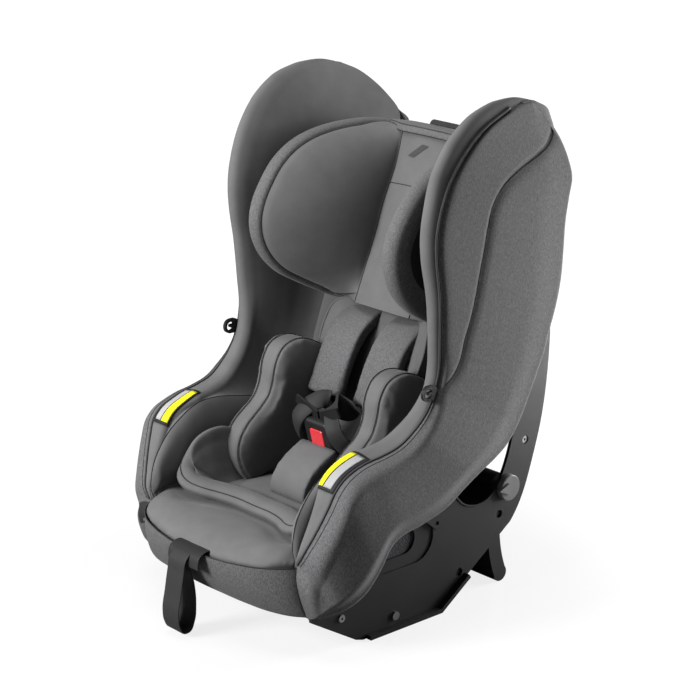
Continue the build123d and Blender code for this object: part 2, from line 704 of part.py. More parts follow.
with BuildPart() as adjuster_flap:
    # small blank flap that hides the adjuster button
    with BuildSketch(Plane.YZ.offset(-20)):
        with BuildLine():
            path = Spline((-154, 126.5), (-178, 127.5), (-200, 124))
        trace(path, line_width=1.6)
    extrude(amount=40)
save(adjuster_flap, "adjuster_flap")

# ---------------------------------------------------------------- small fittings on the covers
HOOK_Y, HOOK_Z = 27, 332
with BuildPart() as harness_hooks:
    # rings with a tongue on the piping that park the harness out of the way, one each side
    for sign in (1, -1):
        with BuildSketch(Plane.YZ.offset(sign * (COVER_OUT + 0.3))):
            with Locations((HOOK_Y - 10, HOOK_Z)):
                RectangleRounded(26, 21, 10)
            with Locations((HOOK_Y - 13, HOOK_Z)):
                Circle(6.5, mode=Mode.SUBTRACT)
            with Locations((HOOK_Y - 9.5, HOOK_Z)):
                RectangleRounded(9, 4.4, 2)
        extrude(amount=sign * 5)
save(harness_hooks, "harness_hooks")

for sign, side_name in SIDES:
    with BuildPart() as side_label:
        with BuildSketch(Plane.YZ.offset(sign * (COVER_OUT + 0.3))):
            with Locations((-112, 240)):
                RectangleRounded(52, 28, 2)
        extrude(amount=sign * 0.9)
    save(side_label, f"side_label_{side_name}")

# ---------------------------------------------------------------- top tether
TETHER_Y = 279
with BuildPart() as tether_strap:
    with BuildSketch(Plane.YZ.offset(-19)):
        with BuildLine():
            path = Spline((back_point(60, -7)), (236, 470), (274, 446), (TETHER_Y, 400), (TETHER_Y, 295))
        trace(path, line_width=2)
    extrude(amount=38)
save(tether_strap, "tether_strap")

with BuildPart() as tether_hook:
    with BuildSketch(Plane.XZ.offset(-TETHER_Y + 2)):
        with Locations((0, 286)):
            RectangleRounded(48, 16, 5)
            Rectangle(40, 4, mode=Mode.SUBTRACT)
        with BuildLine():
            Polyline((-8, 279), (8, 279), (8, 262), (-8, 262), close=True)
        make_face()
        with Locations((0, 244)):
            Circle(20)
            Circle(12.5, mode=Mode.SUBTRACT)
        with Locations((-16, 240)):
            Rectangle(14, 17, mode=Mode.SUBTRACT)
    extrude(amount=-5)
save(tether_hook, "tether_hook")

with BuildPart() as tether_gate:
    with BuildSketch(Plane.XZ.offset(-TETHER_Y + 0.5)):
        # the gate turns about the round end at its top
        with Locations((-16.2, 240)):
            Rectangle(3, 12.6)
        with Locations((-16.2, 246.3), (-16.2, 233.7)):
            Circle(1.5)
    extrude(amount=-4)
save(tether_gate, "tether_gate")
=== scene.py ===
"""Looks of the convertible child car seat: sewn covers, pads, webbing, plastics, light and camera.

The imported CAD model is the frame. Lengths in the data below are millimetres in the row's frame
(+Z up, the child faces -Y, +X is the side nearest the camera); meshes are built in metres.
"""

import json
import math

import bmesh
import bpy
import numpy as np
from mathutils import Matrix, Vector
from mathutils.bvhtree import BVHTree


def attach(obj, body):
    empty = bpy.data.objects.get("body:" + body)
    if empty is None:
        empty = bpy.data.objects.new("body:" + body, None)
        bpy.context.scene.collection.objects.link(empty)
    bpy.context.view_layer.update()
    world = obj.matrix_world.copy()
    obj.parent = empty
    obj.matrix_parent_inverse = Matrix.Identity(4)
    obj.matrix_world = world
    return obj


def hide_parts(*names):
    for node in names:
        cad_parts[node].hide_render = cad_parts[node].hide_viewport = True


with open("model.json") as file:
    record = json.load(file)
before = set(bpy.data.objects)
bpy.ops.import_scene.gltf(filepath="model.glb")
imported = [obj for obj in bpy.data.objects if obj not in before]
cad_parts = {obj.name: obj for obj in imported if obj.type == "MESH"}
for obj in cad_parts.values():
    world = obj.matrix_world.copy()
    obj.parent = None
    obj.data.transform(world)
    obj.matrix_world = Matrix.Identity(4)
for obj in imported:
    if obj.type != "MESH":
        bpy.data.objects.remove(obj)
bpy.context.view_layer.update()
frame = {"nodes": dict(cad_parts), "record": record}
MM = 0.001
RIGHT, LEFT = 1, -1
NAMES = {RIGHT: "right", LEFT: "left"}
RECLINE = math.radians(20)
BACK_Y, BACK_Z = 170, 400  # a point on the front of the shell's back
X = np.array([1.0, 0, 0])
UP = np.array([0, math.sin(RECLINE), math.cos(RECLINE)])
FORWARD = np.array([0, -math.cos(RECLINE), math.sin(RECLINE)])


def on_back(x, up, forward):
    """A point in mm from its place on the leaning back: across, up the back, in front of it."""
    return np.array([x, BACK_Y, BACK_Z]) + UP * up + FORWARD * forward


# ---------------------------------------------------------------- curves
def smooth(points, closed=False, per=16):
    """A dense smooth curve through the points."""
    p = np.asarray(points, float)
    n = len(p)
    if closed:
        p = np.vstack([p[-2:], p, p[:3]])
    h = np.linalg.norm(np.diff(p, axis=0), axis=1)
    d = np.diff(p, axis=0) / h[:, None]
    m = np.empty_like(p)
    m[1:-1] = (d[:-1] * h[1:, None] + d[1:] * h[:-1, None]) / (h[:-1] + h[1:])[:, None]
    m[0], m[-1] = d[0], d[-1]
    t = np.linspace(0, 1, per, endpoint=False)[:, None]
    rows = []
    for i in range(len(p) - 1):
        rows.append((2 * t**3 - 3 * t**2 + 1) * p[i] + (t**3 - 2 * t**2 + t) * h[i] * m[i]
                    + (3 * t**2 - 2 * t**3) * p[i + 1] + (t**3 - t**2) * h[i] * m[i + 1])
    curve = np.vstack(rows + [p[-1:]])
    return curve[2 * per:(2 + n) * per + 1] if closed else curve


def arc(curve):
    """Distance in mm along the curve at each of its points."""
    return np.concatenate([[0], np.cumsum(np.linalg.norm(np.diff(curve, axis=0), axis=1))])


def sample(curve, marks, q):
    """The curve's points at the values q, where marks holds the value at each of its own points."""
    return np.stack([np.interp(q, marks, curve[:, k]) for k in range(curve.shape[1])], 1)


def even(curve, n):
    """n points evenly spaced along a dense curve."""
    s = arc(curve)
    return sample(curve, s, np.linspace(0, s[-1], n))


def stretch(curve, near_end, far_end, n):
    """n points of a curve between two distances in mm from its start."""
    return sample(curve, arc(curve), np.linspace(near_end, far_end, n))


def paced(points, marks, n, start=0.0, end=1.0):
    """n points along the smooth curve; marks {point index: share} says where given points fall."""
    per = 16
    c = smooth(points, per=per)
    s = arc(c)
    idx = sorted(marks)
    share = [marks[i] for i in idx]
    return sample(c, s, np.interp(np.linspace(start, end, n), share, [s[i * per] for i in idx]))


def mirrored(half):
    """A symmetric line from its half: the points run from -X to the middle, and the other side is added."""
    return half + [(-x, *rest) for x, *rest in half[-2::-1]]


def ramp(x, a, b):
    """A smooth step from 0 at a to 1 at b."""
    t = np.clip((np.asarray(x, float) - a) / (b - a), 0, 1)
    return t * t * (3 - 2 * t)


# ---------------------------------------------------------------- meshes
def shade_smooth(mesh):
    mesh.polygons.foreach_set("use_smooth", [True] * len(mesh.polygons))


def new_object(name, mesh, material):
    obj = bpy.data.objects.new(name, mesh)
    bpy.context.scene.collection.objects.link(obj)
    mesh.materials.append(material)
    shade_smooth(mesh)
    return obj


def grid(name, p, material, flip=False):
    """A quad mesh from an (n, m, 3) array of points in mm."""
    n, m = p.shape[:2]
    faces = []
    for i in range(n - 1):
        for j in range(m - 1):
            a, b = i * m + j, (i + 1) * m + j
            faces.append((a, b, b + 1, a + 1) if not flip else (a, a + 1, b + 1, b))
    mesh = bpy.data.meshes.new(name)
    mesh.from_pydata((p.reshape(-1, 3) * MM).tolist(), [], faces)
    mesh.update()
    return new_object(name, mesh, material)


def closed_grid(name, p, material, turn_out=False):
    """A grid whose rows close into rings, with the first and last ring filled."""
    obj = grid(name, np.concatenate([p, p[:, :1]], 1), material)
    bm = bmesh.new()
    bm.from_mesh(obj.data)
    bmesh.ops.remove_doubles(bm, verts=bm.verts, dist=1e-6)
    bmesh.ops.holes_fill(bm, edges=bm.edges)
    if turn_out:
        bmesh.ops.recalc_face_normals(bm, faces=bm.faces)
    bm.to_mesh(obj.data)
    bm.free()
    shade_smooth(obj.data)
    return obj


def tube(name, path, radius, material):
    """A round cord along a path in mm."""
    path = np.asarray(path, float)
    t = np.gradient(path, axis=0)
    t /= np.linalg.norm(t, axis=1)[:, None] + 1e-12
    side = np.zeros_like(t)
    s = np.cross(t[0], np.array([0.0, 0, 1]) if abs(t[0, 2]) < 0.9 else X)
    for i in range(len(t)):
        s = s - t[i] * (s @ t[i])
        s /= np.linalg.norm(s)
        side[i] = s
    up = np.cross(side, t)
    a = np.linspace(0, 2 * np.pi, 9)[:-1]
    ring = side[:, None, :] * np.cos(a)[None, :, None] + up[:, None, :] * np.sin(a)[None, :, None]
    return closed_grid(name, path[:, None, :] + radius * ring, material)


def ribbon(name, path, across, width, thick, material, n=60, wave=0.0):
    """Flat webbing: path and width direction are given at a few points; edges are rounded."""
    dense = smooth(path)
    marks = arc(dense)[::16] / arc(dense)[-1]
    path = even(dense, n)
    across = sample(np.asarray(across, float), marks, np.linspace(0, 1, n))
    t = np.gradient(path, axis=0)
    t /= np.linalg.norm(t, axis=1)[:, None]
    across = across - t * np.sum(across * t, 1)[:, None]
    across /= np.linalg.norm(across, axis=1)[:, None]
    normal = np.cross(t, across)
    w, h = width / 2, thick / 2
    u = np.array([-1, -0.97, -0.9, -0.6, -0.3, 0, 0.3, 0.6, 0.9, 0.97, 1])
    edge = np.sqrt(np.clip(1 - np.clip((np.abs(u) - 0.9) / 0.1, 0, 1) ** 2, 0, 1))
    section = [(c, h * e) for c, e in zip(u, edge)] + [(c, -h * e) for c, e in zip(u, edge)][::-1][1:-1]
    rows = [path + across * c * w + normal * (high + wave * (1 - c * c)) for c, high in section]
    return closed_grid(name, np.stack(rows, 1), material, turn_out=True)


def prism(name, outline, low, high, axis, material):
    """A closed solid from a 2-D outline in mm, extruded along an axis; low and high may vary per point."""
    o = np.asarray(outline, float)
    ends = [np.insert(o, axis, np.broadcast_to(v, len(o)), 1) for v in (low, high)]
    p = np.vstack(ends) * MM
    n = len(o)
    faces = [tuple(range(n))[::-1], tuple(range(n, 2 * n))]
    faces += [(i, (i + 1) % n, n + (i + 1) % n, n + i) for i in range(n)]
    mesh = bpy.data.meshes.new(name)
    mesh.from_pydata(p.tolist(), [], faces)
    bm = bmesh.new()
    bm.from_mesh(mesh)
    bmesh.ops.triangulate(bm, faces=[f for f in bm.faces if len(f.verts) > 4])
    bmesh.ops.recalc_face_normals(bm, faces=bm.faces)
    bm.to_mesh(mesh)
    bm.free()
    return new_object(name, mesh, material)


def bake(obj):
    """Applies every modifier of an object."""
    dg = bpy.context.evaluated_depsgraph_get()
    dg.update()
    mesh = bpy.data.meshes.new_from_object(obj.evaluated_get(dg))
    old = obj.data
    obj.modifiers.clear()
    obj.data = mesh
    bpy.data.meshes.remove(old)
    shade_smooth(mesh)


def coords(obj):
    """The mesh's points in mm."""
    co = np.empty(len(obj.data.vertices) * 3)
    obj.data.vertices.foreach_get("co", co)
    return co.reshape(-1, 3) / MM


def set_coords(obj, co):
    obj.data.vertices.foreach_set("co", (co * MM).ravel())
    obj.data.update()


def normals(obj):
    out = np.empty(len(obj.data.vertices) * 3)
    obj.data.vertices.foreach_get("normal", out)
    return out.reshape(-1, 3)


def remesh(obj, voxel, rounds):
    """Rebuilds a solid from voxels of a size in mm, then rounds it off."""
    m = obj.modifiers.new("remesh", "REMESH")
    m.mode = "VOXEL"
    m.voxel_size = voxel * MM
    bake(obj)
    s = obj.modifiers.new("smooth", "SMOOTH")
    s.factor, s.iterations = 0.5, rounds
    bake(obj)


def near(co, path, chunk=4000):
    """Distance in mm from each point to a dense path."""
    path = np.asarray(path, float)
    out = np.empty(len(co))
    for i in range(0, len(co), chunk):
        out[i:i + chunk] = np.linalg.norm(co[i:i + chunk, None] - path[None], axis=2).min(1)
    return out


def groove(obj, path, depth, width):
    """Sinks the surface along a seam line."""
    co = coords(obj)
    d = near(co, even(smooth(path), 400))
    set_coords(obj, co - normals(obj) * (depth * np.exp(-(d / width) ** 2))[:, None])


def subdivide(obj):
    m = obj.modifiers.new("subdivision", "SUBSURF")
    m.levels = m.render_levels = 1
    bake(obj)


def on_surface(obj, path, lift=0.0):
    """The path moved onto the object's surface, lifted along the surface normal."""
    bm = bmesh.new()
    bm.from_mesh(obj.data)
    tree = BVHTree.FromBMesh(bm)
    out = []
    for q in np.asarray(path, float):
        loc, nrm, _, _ = tree.find_nearest(Vector(q * MM))
        out.append(np.array(loc) / MM + np.array(nrm) * lift)
    bm.free()
    out = np.array(out)
    for _ in range(3):
        out[1:-1] = (out[:-2] + 2 * out[1:-1] + out[2:]) / 4
    return out


# ---------------------------------------------------------------- cloth
waiting = []


def cloth(obj, cap, pressure=4.0):
    """Queues a pad for the cloth simulation: it swells by at most cap mm."""
    waiting.append((obj, cap, coords(obj), pressure))


def simulate():
    """Runs the queued pads together and keeps the result as plain meshes."""
    scene = bpy.context.scene
    last = 20
    scene.frame_start, scene.frame_end = 1, last
    for obj, cap, rest, pressure in waiting:
        m = obj.modifiers.new("cloth", "CLOTH")
        s = m.settings
        s.quality = 4
        s.mass = 0.3
        s.tension_stiffness = s.compression_stiffness = 12
        s.shear_stiffness = 6
        s.bending_stiffness = 1.5
        s.air_damping = 3
        s.use_pressure = True
        s.uniform_pressure_force = pressure
        s.effector_weights.gravity = 0
        m.point_cache.frame_start, m.point_cache.frame_end = 1, last
    scene.gravity = (0, 0, 0)
    for f in range(1, last + 1):
        scene.frame_set(f)
    dg = bpy.context.evaluated_depsgraph_get()
    for obj, cap, rest, pressure in waiting:
        mesh = obj.evaluated_get(dg).to_mesh()
        co = np.empty(len(mesh.vertices) * 3)
        mesh.vertices.foreach_get("co", co)
        co = co.reshape(-1, 3) / MM
        obj.evaluated_get(dg).to_mesh_clear()
        obj.modifiers.clear()
        d = co - rest
        size = np.linalg.norm(d, axis=1)
        d *= (cap * np.tanh(size / cap) / np.maximum(size, 1e-9))[:, None]
        set_coords(obj, rest + d)
    scene.frame_set(1)


# ---------------------------------------------------------------- materials
def node_material(name):
    """A new material with its node tree and its principled shader."""
    m = bpy.data.materials.new(name)
    m.use_nodes = True
    t = m.node_tree
    t.nodes.clear()
    out = t.nodes.new("ShaderNodeOutputMaterial")
    shader = t.nodes.new("ShaderNodeBsdfPrincipled")
    t.links.new(shader.outputs[0], out.inputs[0])
    return m, t, shader


def noise(t, source, scale, squeeze=(1, 1, 1), detail=2.0, rough=0.5):
    """Noise of a scale; a squeeze below 1 draws it out along that axis."""
    mapping = t.nodes.new("ShaderNodeMapping")
    mapping.inputs["Scale"].default_value = squeeze
    n = t.nodes.new("ShaderNodeTexNoise")
    n.inputs["Scale"].default_value = scale
    n.inputs["Detail"].default_value = detail
    n.inputs["Roughness"].default_value = rough
    t.links.new(source, mapping.inputs[0])
    t.links.new(mapping.outputs[0], n.inputs[0])
    return n.outputs[0]


def ramp_node(t, source, stops):
    """A colour ramp through stops of (position, colour)."""
    r = t.nodes.new("ShaderNodeValToRGB")
    while len(r.color_ramp.elements) < len(stops):
        r.color_ramp.elements.new(0.5)
    for e, (pos, c) in zip(r.color_ramp.elements, stops):
        e.position, e.color = pos, (*c, 1)
    t.links.new(source, r.inputs[0])
    return r.outputs[0]


def maths(t, kind, a, b):
    """A math node on two values, each a number or a socket."""
    n = t.nodes.new("ShaderNodeMath")
    n.operation = kind
    for i, v in enumerate((a, b)):
        if isinstance(v, (int, float)):
            n.inputs[i].default_value = v
        else:
            t.links.new(v, n.inputs[i])
    return n.outputs[0]


def bump(t, shader, height, distance, strength=1.0):
    b = t.nodes.new("ShaderNodeBump")
    b.inputs["Distance"].default_value = distance
    b.inputs["Strength"].default_value = strength
    t.links.new(height, b.inputs["Height"])
    t.links.new(b.outputs[0], shader.inputs["Normal"])


def place(t):
    """The point's place on the piece, in metres."""
    return t.nodes.new("ShaderNodeTexCoord").outputs["Object"]


def knit(name, dark, light, rough=0.85, sheen=0.12, melange=False):
    """Knitted cover fabric; melange has light and dark fibres running upwards; painted shade darkens the
    colour where the surface is closed in.
    """
    m, t, s = node_material(name)
    at = place(t)
    fine = noise(t, at, 1500, (1, 1, 0.6), 2, 0.6)
    if melange:
        fibre = noise(t, at, 1700, (1, 1, 0.22), 3, 0.7)
        cloud = noise(t, at, 620, (1, 1, 0.4), 3, 0.65)
        mix = maths(t, "ADD", maths(t, "MULTIPLY", fibre, 0.62), maths(t, "MULTIPLY", cloud, 0.38))
        colour = ramp_node(t, mix, [(0.36, dark), (0.52, [(a + b) / 2 for a, b in zip(dark, light)]),
                                    (0.66, light)])
        height = maths(t, "ADD", mix, maths(t, "MULTIPLY", fine, 0.5))
        bump(t, s, height, 0.0003, 0.5)
    else:
        broad = noise(t, at, 40, (1, 1, 1), 3, 0.5)
        mix = maths(t, "ADD", maths(t, "MULTIPLY", fine, 0.5), maths(t, "MULTIPLY", broad, 0.5))
        colour = ramp_node(t, mix, [(0.3, dark), (0.7, light)])
        bump(t, s, fine, 0.00025, 0.4)
    # painted shade: the colour is darker where the surface is closed in, as ambient occlusion finds it
    painted_shade_ao = t.nodes.new("ShaderNodeAmbientOcclusion")
    painted_shade_ao.samples = 6
    painted_shade_ao.inputs["Distance"].default_value = 0.2
    open_share = maths(t, "POWER", painted_shade_ao.outputs["AO"], 1.3)
    shade = maths(t, "ADD", maths(t, "MULTIPLY", open_share, 0.5), 0.6)
    tone = t.nodes.new("ShaderNodeVectorMath")
    tone.operation = "SCALE"
    t.links.new(colour, tone.inputs[0])
    t.links.new(shade, tone.inputs["Scale"])
    t.links.new(tone.outputs[0], s.inputs["Base Color"])
    s.inputs["Roughness"].default_value = rough
    s.inputs["Sheen Weight"].default_value = sheen
    s.inputs["Sheen Roughness"].default_value = 0.45
    s.inputs["Specular IOR Level"].default_value = 0.25
    return m


def plastic(name, colour, rough=0.45, grain=0.00012, spec=0.4):
    """Moulded plastic with a fine spark-eroded grain."""
    m, t, s = node_material(name)
    at = place(t)
    g = noise(t, at, 2200, detail=2)
    patch = noise(t, at, 25, detail=3)
    a = [c * 0.85 for c in colour]
    b = [c * 1.15 for c in colour]
    t.links.new(ramp_node(t, patch, [(0.3, a), (0.7, b)]), s.inputs["Base Color"])
    t.links.new(maths(t, "ADD", maths(t, "MULTIPLY", patch, 0.12), rough - 0.06), s.inputs["Roughness"])
    s.inputs["Specular IOR Level"].default_value = spec
    bump(t, s, g, grain, 0.5)
    return m


def steel(name, colour=(0.5, 0.5, 0.52)):
    """Plated steel with fine brushing."""
    m, t, s = node_material(name)
    at = place(t)
    brushed = noise(t, at, 900, (1, 0.06, 1), 3)
    t.links.new(ramp_node(t, brushed, [(0.3, [c * 0.8 for c in colour]), (0.7, colour)]),
                s.inputs["Base Color"])
    s.inputs["Metallic"].default_value = 1.0
    s.inputs["Roughness"].default_value = 0.32
    bump(t, s, brushed, 0.00005, 0.4)
    return m


def webbing(name, colour):
    """Tight polyester weave: small diagonal ribs over fine noise."""
    m, t, s = node_material(name)
    at = place(t)
    w = t.nodes.new("ShaderNodeTexWave")
    w.bands_direction = "DIAGONAL"
    w.inputs["Scale"].default_value = 260
    w.inputs["Distortion"].default_value = 1.5
    w.inputs["Detail"].default_value = 1
    t.links.new(at, w.inputs[0])
    f = noise(t, at, 1400, detail=2)
    mix = maths(t, "ADD", maths(t, "MULTIPLY", w.outputs["Fac"], 0.5), maths(t, "MULTIPLY", f, 0.5))
    t.links.new(ramp_node(t, mix, [(0.2, [c * 0.7 for c in colour]), (0.8, [c * 1.4 for c in colour])]),
                s.inputs["Base Color"])
    s.inputs["Roughness"].default_value = 0.7
    s.inputs["Sheen Weight"].default_value = 0.03
    bump(t, s, mix, 0.0004, 0.5)
    return m


def mesh_cloth(name):
    """Open black spacer mesh: small round cells."""
    m, t, s = node_material(name)
    at = place(t)
    v = t.nodes.new("ShaderNodeTexVoronoi")
    v.inputs["Scale"].default_value = 420
    t.links.new(at, v.inputs[0])
    cell = ramp_node(t, v.outputs["Distance"], [(0.2, (0.006, 0.006, 0.007)), (0.6, (0.036, 0.034, 0.042))])
    t.links.new(cell, s.inputs["Base Color"])
    s.inputs["Roughness"].default_value = 0.8
    bump(t, s, v.outputs["Distance"], 0.0006, 0.8)
    return m


SMOOTH = knit("knit_smooth", (0.118, 0.118, 0.12), (0.15, 0.15, 0.152))
SMOOTH_DARK = knit("knit_smooth_dark", (0.05, 0.05, 0.052), (0.066, 0.066, 0.068))
MELANGE = knit("knit_melange", (0.055, 0.055, 0.057), (0.20, 0.20, 0.203), melange=True)
# dark seam thread; along the raised panel seam it is painted shadow
SEAM = knit("seam_thread_and_shadow", (0.018, 0.018, 0.019), (0.034, 0.034, 0.035), sheen=0.1)
PIPING = knit("piping", (0.04, 0.04, 0.042), (0.07, 0.07, 0.072), sheen=0.2)
BLACK = plastic("base_plastic", (0.0115, 0.0115, 0.012), 0.5)
SHINY_BLACK = plastic("buckle_plastic", (0.008, 0.008, 0.009), 0.34, spec=0.5)
KNOB = plastic("knob_grey", (0.17, 0.17, 0.172), 0.42)
RED = plastic("button_red", (0.72, 0.045, 0.055), 0.32, 0.00005, 0.5)
STEEL = steel("steel")
WEB = webbing("webbing", (0.013, 0.013, 0.014))
MESH = mesh_cloth("mesh")
LABEL_BLACK = webbing("label_black", (0.01, 0.01, 0.011))
LABEL_YELLOW = knit("label_yellow", (0.80, 0.74, 0.01), (0.93, 0.86, 0.02), rough=0.6, sheen=0.05)
LABEL_GREY = knit("label_grey", (0.36, 0.36, 0.36), (0.46, 0.46, 0.46), rough=0.6, sheen=0.05)

SLOTS = {
    "base_plastic": BLACK, "steel": STEEL, "knob_grey": KNOB, "mesh": MESH, "knit_melange": MELANGE,
    "knit_smooth": SMOOTH, "webbing": WEB, "button_red": RED, "button_black": SHINY_BLACK,
    "label_yellow": LABEL_YELLOW,
}
slot_of = {s["node"]: s["material_slot"] for s in frame["record"]["subparts"]}
for node, obj in frame["nodes"].items():
    obj.data.materials.clear()
    obj.data.materials.append(SLOTS[slot_of[node]])


def belongs(obj, body, slot, *nodes):
    """Ties a finished piece to its CAD body and hides the CAD nodes it stands for; the slot is not used."""
    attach(obj, body)
    if nodes:
        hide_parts(*nodes)
    return obj


def flip_x(p, sign):
    """The points as they are, or on the other side when sign is -1."""
    return np.asarray(p, float) * np.array([sign, 1, 1])


# ---------------------------------------------------------------- side covers
# seam and piping: up the apron seam, over the armrest, up the wing's front edge, to the crown
EDGE = [(162, -161, 58), (161, -172, 91), (158, -174, 111), (154, -170, 126), (165, -169, 145),
        (173, -161, 166), (180, -152, 188), (186, -142, 212), (189, -134, 230), (190, -121, 243),
        (190, -101, 252),
        (191, -83, 257), (193, -56, 261), (195, -27, 269), (197, -9, 281), (199, 10, 299), (200, 22, 317),
        (201, 29, 335), (202, 34, 359), (204, 33, 400), (206, 30, 459), (206, 24, 507), (206, 23, 535),
        (206, 30, 570), (205, 48, 609), (205, 72, 639), (204, 103, 664), (200, 143, 680), (195, 177, 689),
        (190, 203, 690)]
EDGE_MARKS = {0: 0, 3: 0.08, 8: 0.20, 11: 0.27, 14: 0.36, 17: 0.46, 19: 0.56, 22: 0.72, 24: 0.82, 26: 0.91,
              29: 1}
# rear and lower edge of the outer panel
REAR = [(163, -161, 56), (170, -158, 60), (184, -146, 69), (192, -124, 77), (196, -101, 90), (198, -83, 109),
        (199, -73, 123), (200, -57, 146), (200, -43, 154), (200, -6, 160), (200, 47, 174), (200, 72, 188),
        (200, 104, 204), (200, 135, 217), (200, 158, 230), (200, 178, 250), (200, 202, 290), (200, 223, 331),
        (200, 237, 370), (200, 250, 406), (200, 258, 440), (200, 262, 480), (200, 265, 520), (200, 271, 552),
        (200, 276, 578), (198, 270, 602), (196, 259, 625), (194, 248, 642), (193, 238, 656), (192, 223, 673),
        (191, 208, 687)]
REAR_MARKS = {0: 0, 2: 0.08, 5: 0.20, 8: 0.27, 12: 0.36, 15: 0.46, 18: 0.56, 22: 0.72, 25: 0.82, 28: 0.91,
              30: 1}
# where the cover ends after it has rolled round the rear edge
HEM = [(150, -155, 60), (155, -150, 66), (168, -138, 77), (176, -118, 87), (180, -94, 99), (181, -75, 115),
       (181, -66, 129), (181, -51, 152), (181, -40, 161), (181, -8, 168), (181, 44, 182), (181, 68, 195),
       (181, 100, 212), (181, 130, 226), (181, 152, 238), (181, 172, 257), (181, 196, 295), (181, 217, 334),
       (182, 230, 372), (182, 243, 408), (180, 253, 446), (165, 262, 482), (148, 268, 520), (130, 272, 556),
       (114, 275, 586), (112, 276, 608), (134, 276, 620), (154, 274, 638), (170, 266, 654), (184, 246, 673),
       (190, 214, 688)]
# raised seam of the outer panel
PANEL_SEAM = [(246, 650), (238, 637), (228, 628), (214, 621), (195, 613), (175, 605), (141, 585), (124, 563),
              (116, 537), (110, 509), (101, 474), (94, 445), (86, 418), (76, 392), (68, 368), (53, 348),
              (36, 336)]
# inner end of the lining: round the hip pad, up beside the back, then the tub's top rim
INNER = [(150, -166, 130), (150, -172, 146), (150, -171, 164), (150, -165, 187), (150, -153, 207),
         (150, -137, 225), (150, -119, 238), (150, -102, 248), (150, -84, 254), (150, -58, 255),
         (150, -32, 251), (150, -5, 245), (150, 50, 240), (148, 95, 262), (144, 128, 310), (142, 156, 378),
         (134, 190, 460), (124, 214, 530), (112, 256, 598)] + HEM[-5:]
INNER_MARKS = {0: 0.08, 3: 0.13, 5: 0.19, 8: 0.27, 10: 0.32, 12: 0.38, 14: 0.50, 15: 0.58, 17: 0.74, 18: 0.83,
               20: 0.91, 23: 1}
STATIONS = 190
LINING_START = 0.08  # share of the edge, from the apron's corner, where the lining begins

edge = paced(EDGE, EDGE_MARKS, STATIONS)
share = np.linspace(0, 1, STATIONS)
rear = paced(REAR, REAR_MARKS, STATIONS)
hem = paced(HEM, REAR_MARKS, STATIONS)
panel_seam = even(smooth([(0, y, z) for y, z in PANEL_SEAM]), 300)


def outward(curve):
    """Unit normals in the side view, pointing away from the panel's middle."""
    t = np.gradient(curve[:, 1:], axis=0)
    t /= np.linalg.norm(t, axis=1)[:, None]
    n = np.stack([np.zeros(len(t)), -t[:, 1], t[:, 0]], 1)
    for _ in range(4):
        n[1:-1] = (n[:-2] + n[1:-1] * 2 + n[2:]) / 4
    return n / np.linalg.norm(n, axis=1)[:, None]


def bezier(v, *ends):
    """(stations, len(v), 3) surface: from the first line to the last, drawn towards those between."""
    k = len(ends) - 1
    parts = []
    for i, line in enumerate(ends):
        weight = math.comb(k, i) * v**i * (1 - v) ** (k - i)
        parts.append(weight[None, :, None] * line[:, None])
    return sum(parts)


def outer_panel():
    """(stations, rows, 3) surface of the melange side panel, from the piping to the rolled hem."""
    u = np.linspace(0, 1, 130) ** 1.7
    wide = np.interp(share, [0, 0.05, 0.09, 0.14, 0.20, 0.27, 0.36, 0.46, 0.56, 0.7, 0.86, 1],
                     [11, 20, 26, 27, 27, 26, 20, 10, 5, 4, 4, 3])
    high = np.interp(share, [0, 0.05, 0.12, 0.2, 0.27, 0.36, 0.46, 0.56, 1],
                     [1, 3, 4, 3, 2.5, 2.5, 2, 0.5, 0])
    p = edge[:, None, :] * (1 - u)[None, :, None] + rear[:, None, :] * u[None, :, None]
    length = np.linalg.norm(rear - edge, axis=1)
    d = length[:, None] * u[None, :] / 22.0
    lift = np.sqrt(1 - (1 - np.clip(d, 0, 1)) ** 2)
    fall = 1 - 0.45 * ramp(u, 0.75, 1)
    p[:, :, 0] += wide[:, None] * lift * fall[None, :]
    hump = np.sin(np.pi * np.clip(d * 0.8, 0, 1))
    p += outward(edge)[:, None, :] * (high[:, None] * hump)[..., None]
    # the rear panel swells behind the raised seam
    flat = p.reshape(-1, 3) * np.array([0, 1, 1])
    dist = near(flat, panel_seam)
    line = panel_seam[np.argmin([np.abs(panel_seam[:, 2] - z) for z in flat[:, 2]], 1)]
    behind = (flat[:, 1] > line[:, 1]).reshape(p.shape[:2])
    dist = dist.reshape(p.shape[:2])
    strength = ramp(flat[:, 2], 322, 345).reshape(p.shape[:2])
    swell = np.where(behind, 1.6 * ramp(dist, 0, 16), 0)
    p[:, :, 0] += strength * swell - strength * 1.5 * np.exp(-(dist / 3.5) ** 2)
    # the cover dips just behind the piping
    mm = length[:, None] * u[None, :]
    p[:, :, 0] -= 2.2 * np.exp(-((mm - 5) / 3.5) ** 2) * ramp(share, 0.2, 0.4)[:, None]
    # roll round the rear edge to the hem
    v = np.linspace(0, 1, 26)[1:]
    last = p[:, -1]
    away = rear - p[:, -12]
    away[:, 0] = 0
    away /= np.linalg.norm(away, axis=1)[:, None]
    corner = last + away * 9 + np.array([-1.5, 0, 0])
    corner2 = corner * 0.72 + hem * 0.28 + away * 3
    return np.concatenate([p, bezier(v, last, corner, corner2, hem)], 1)


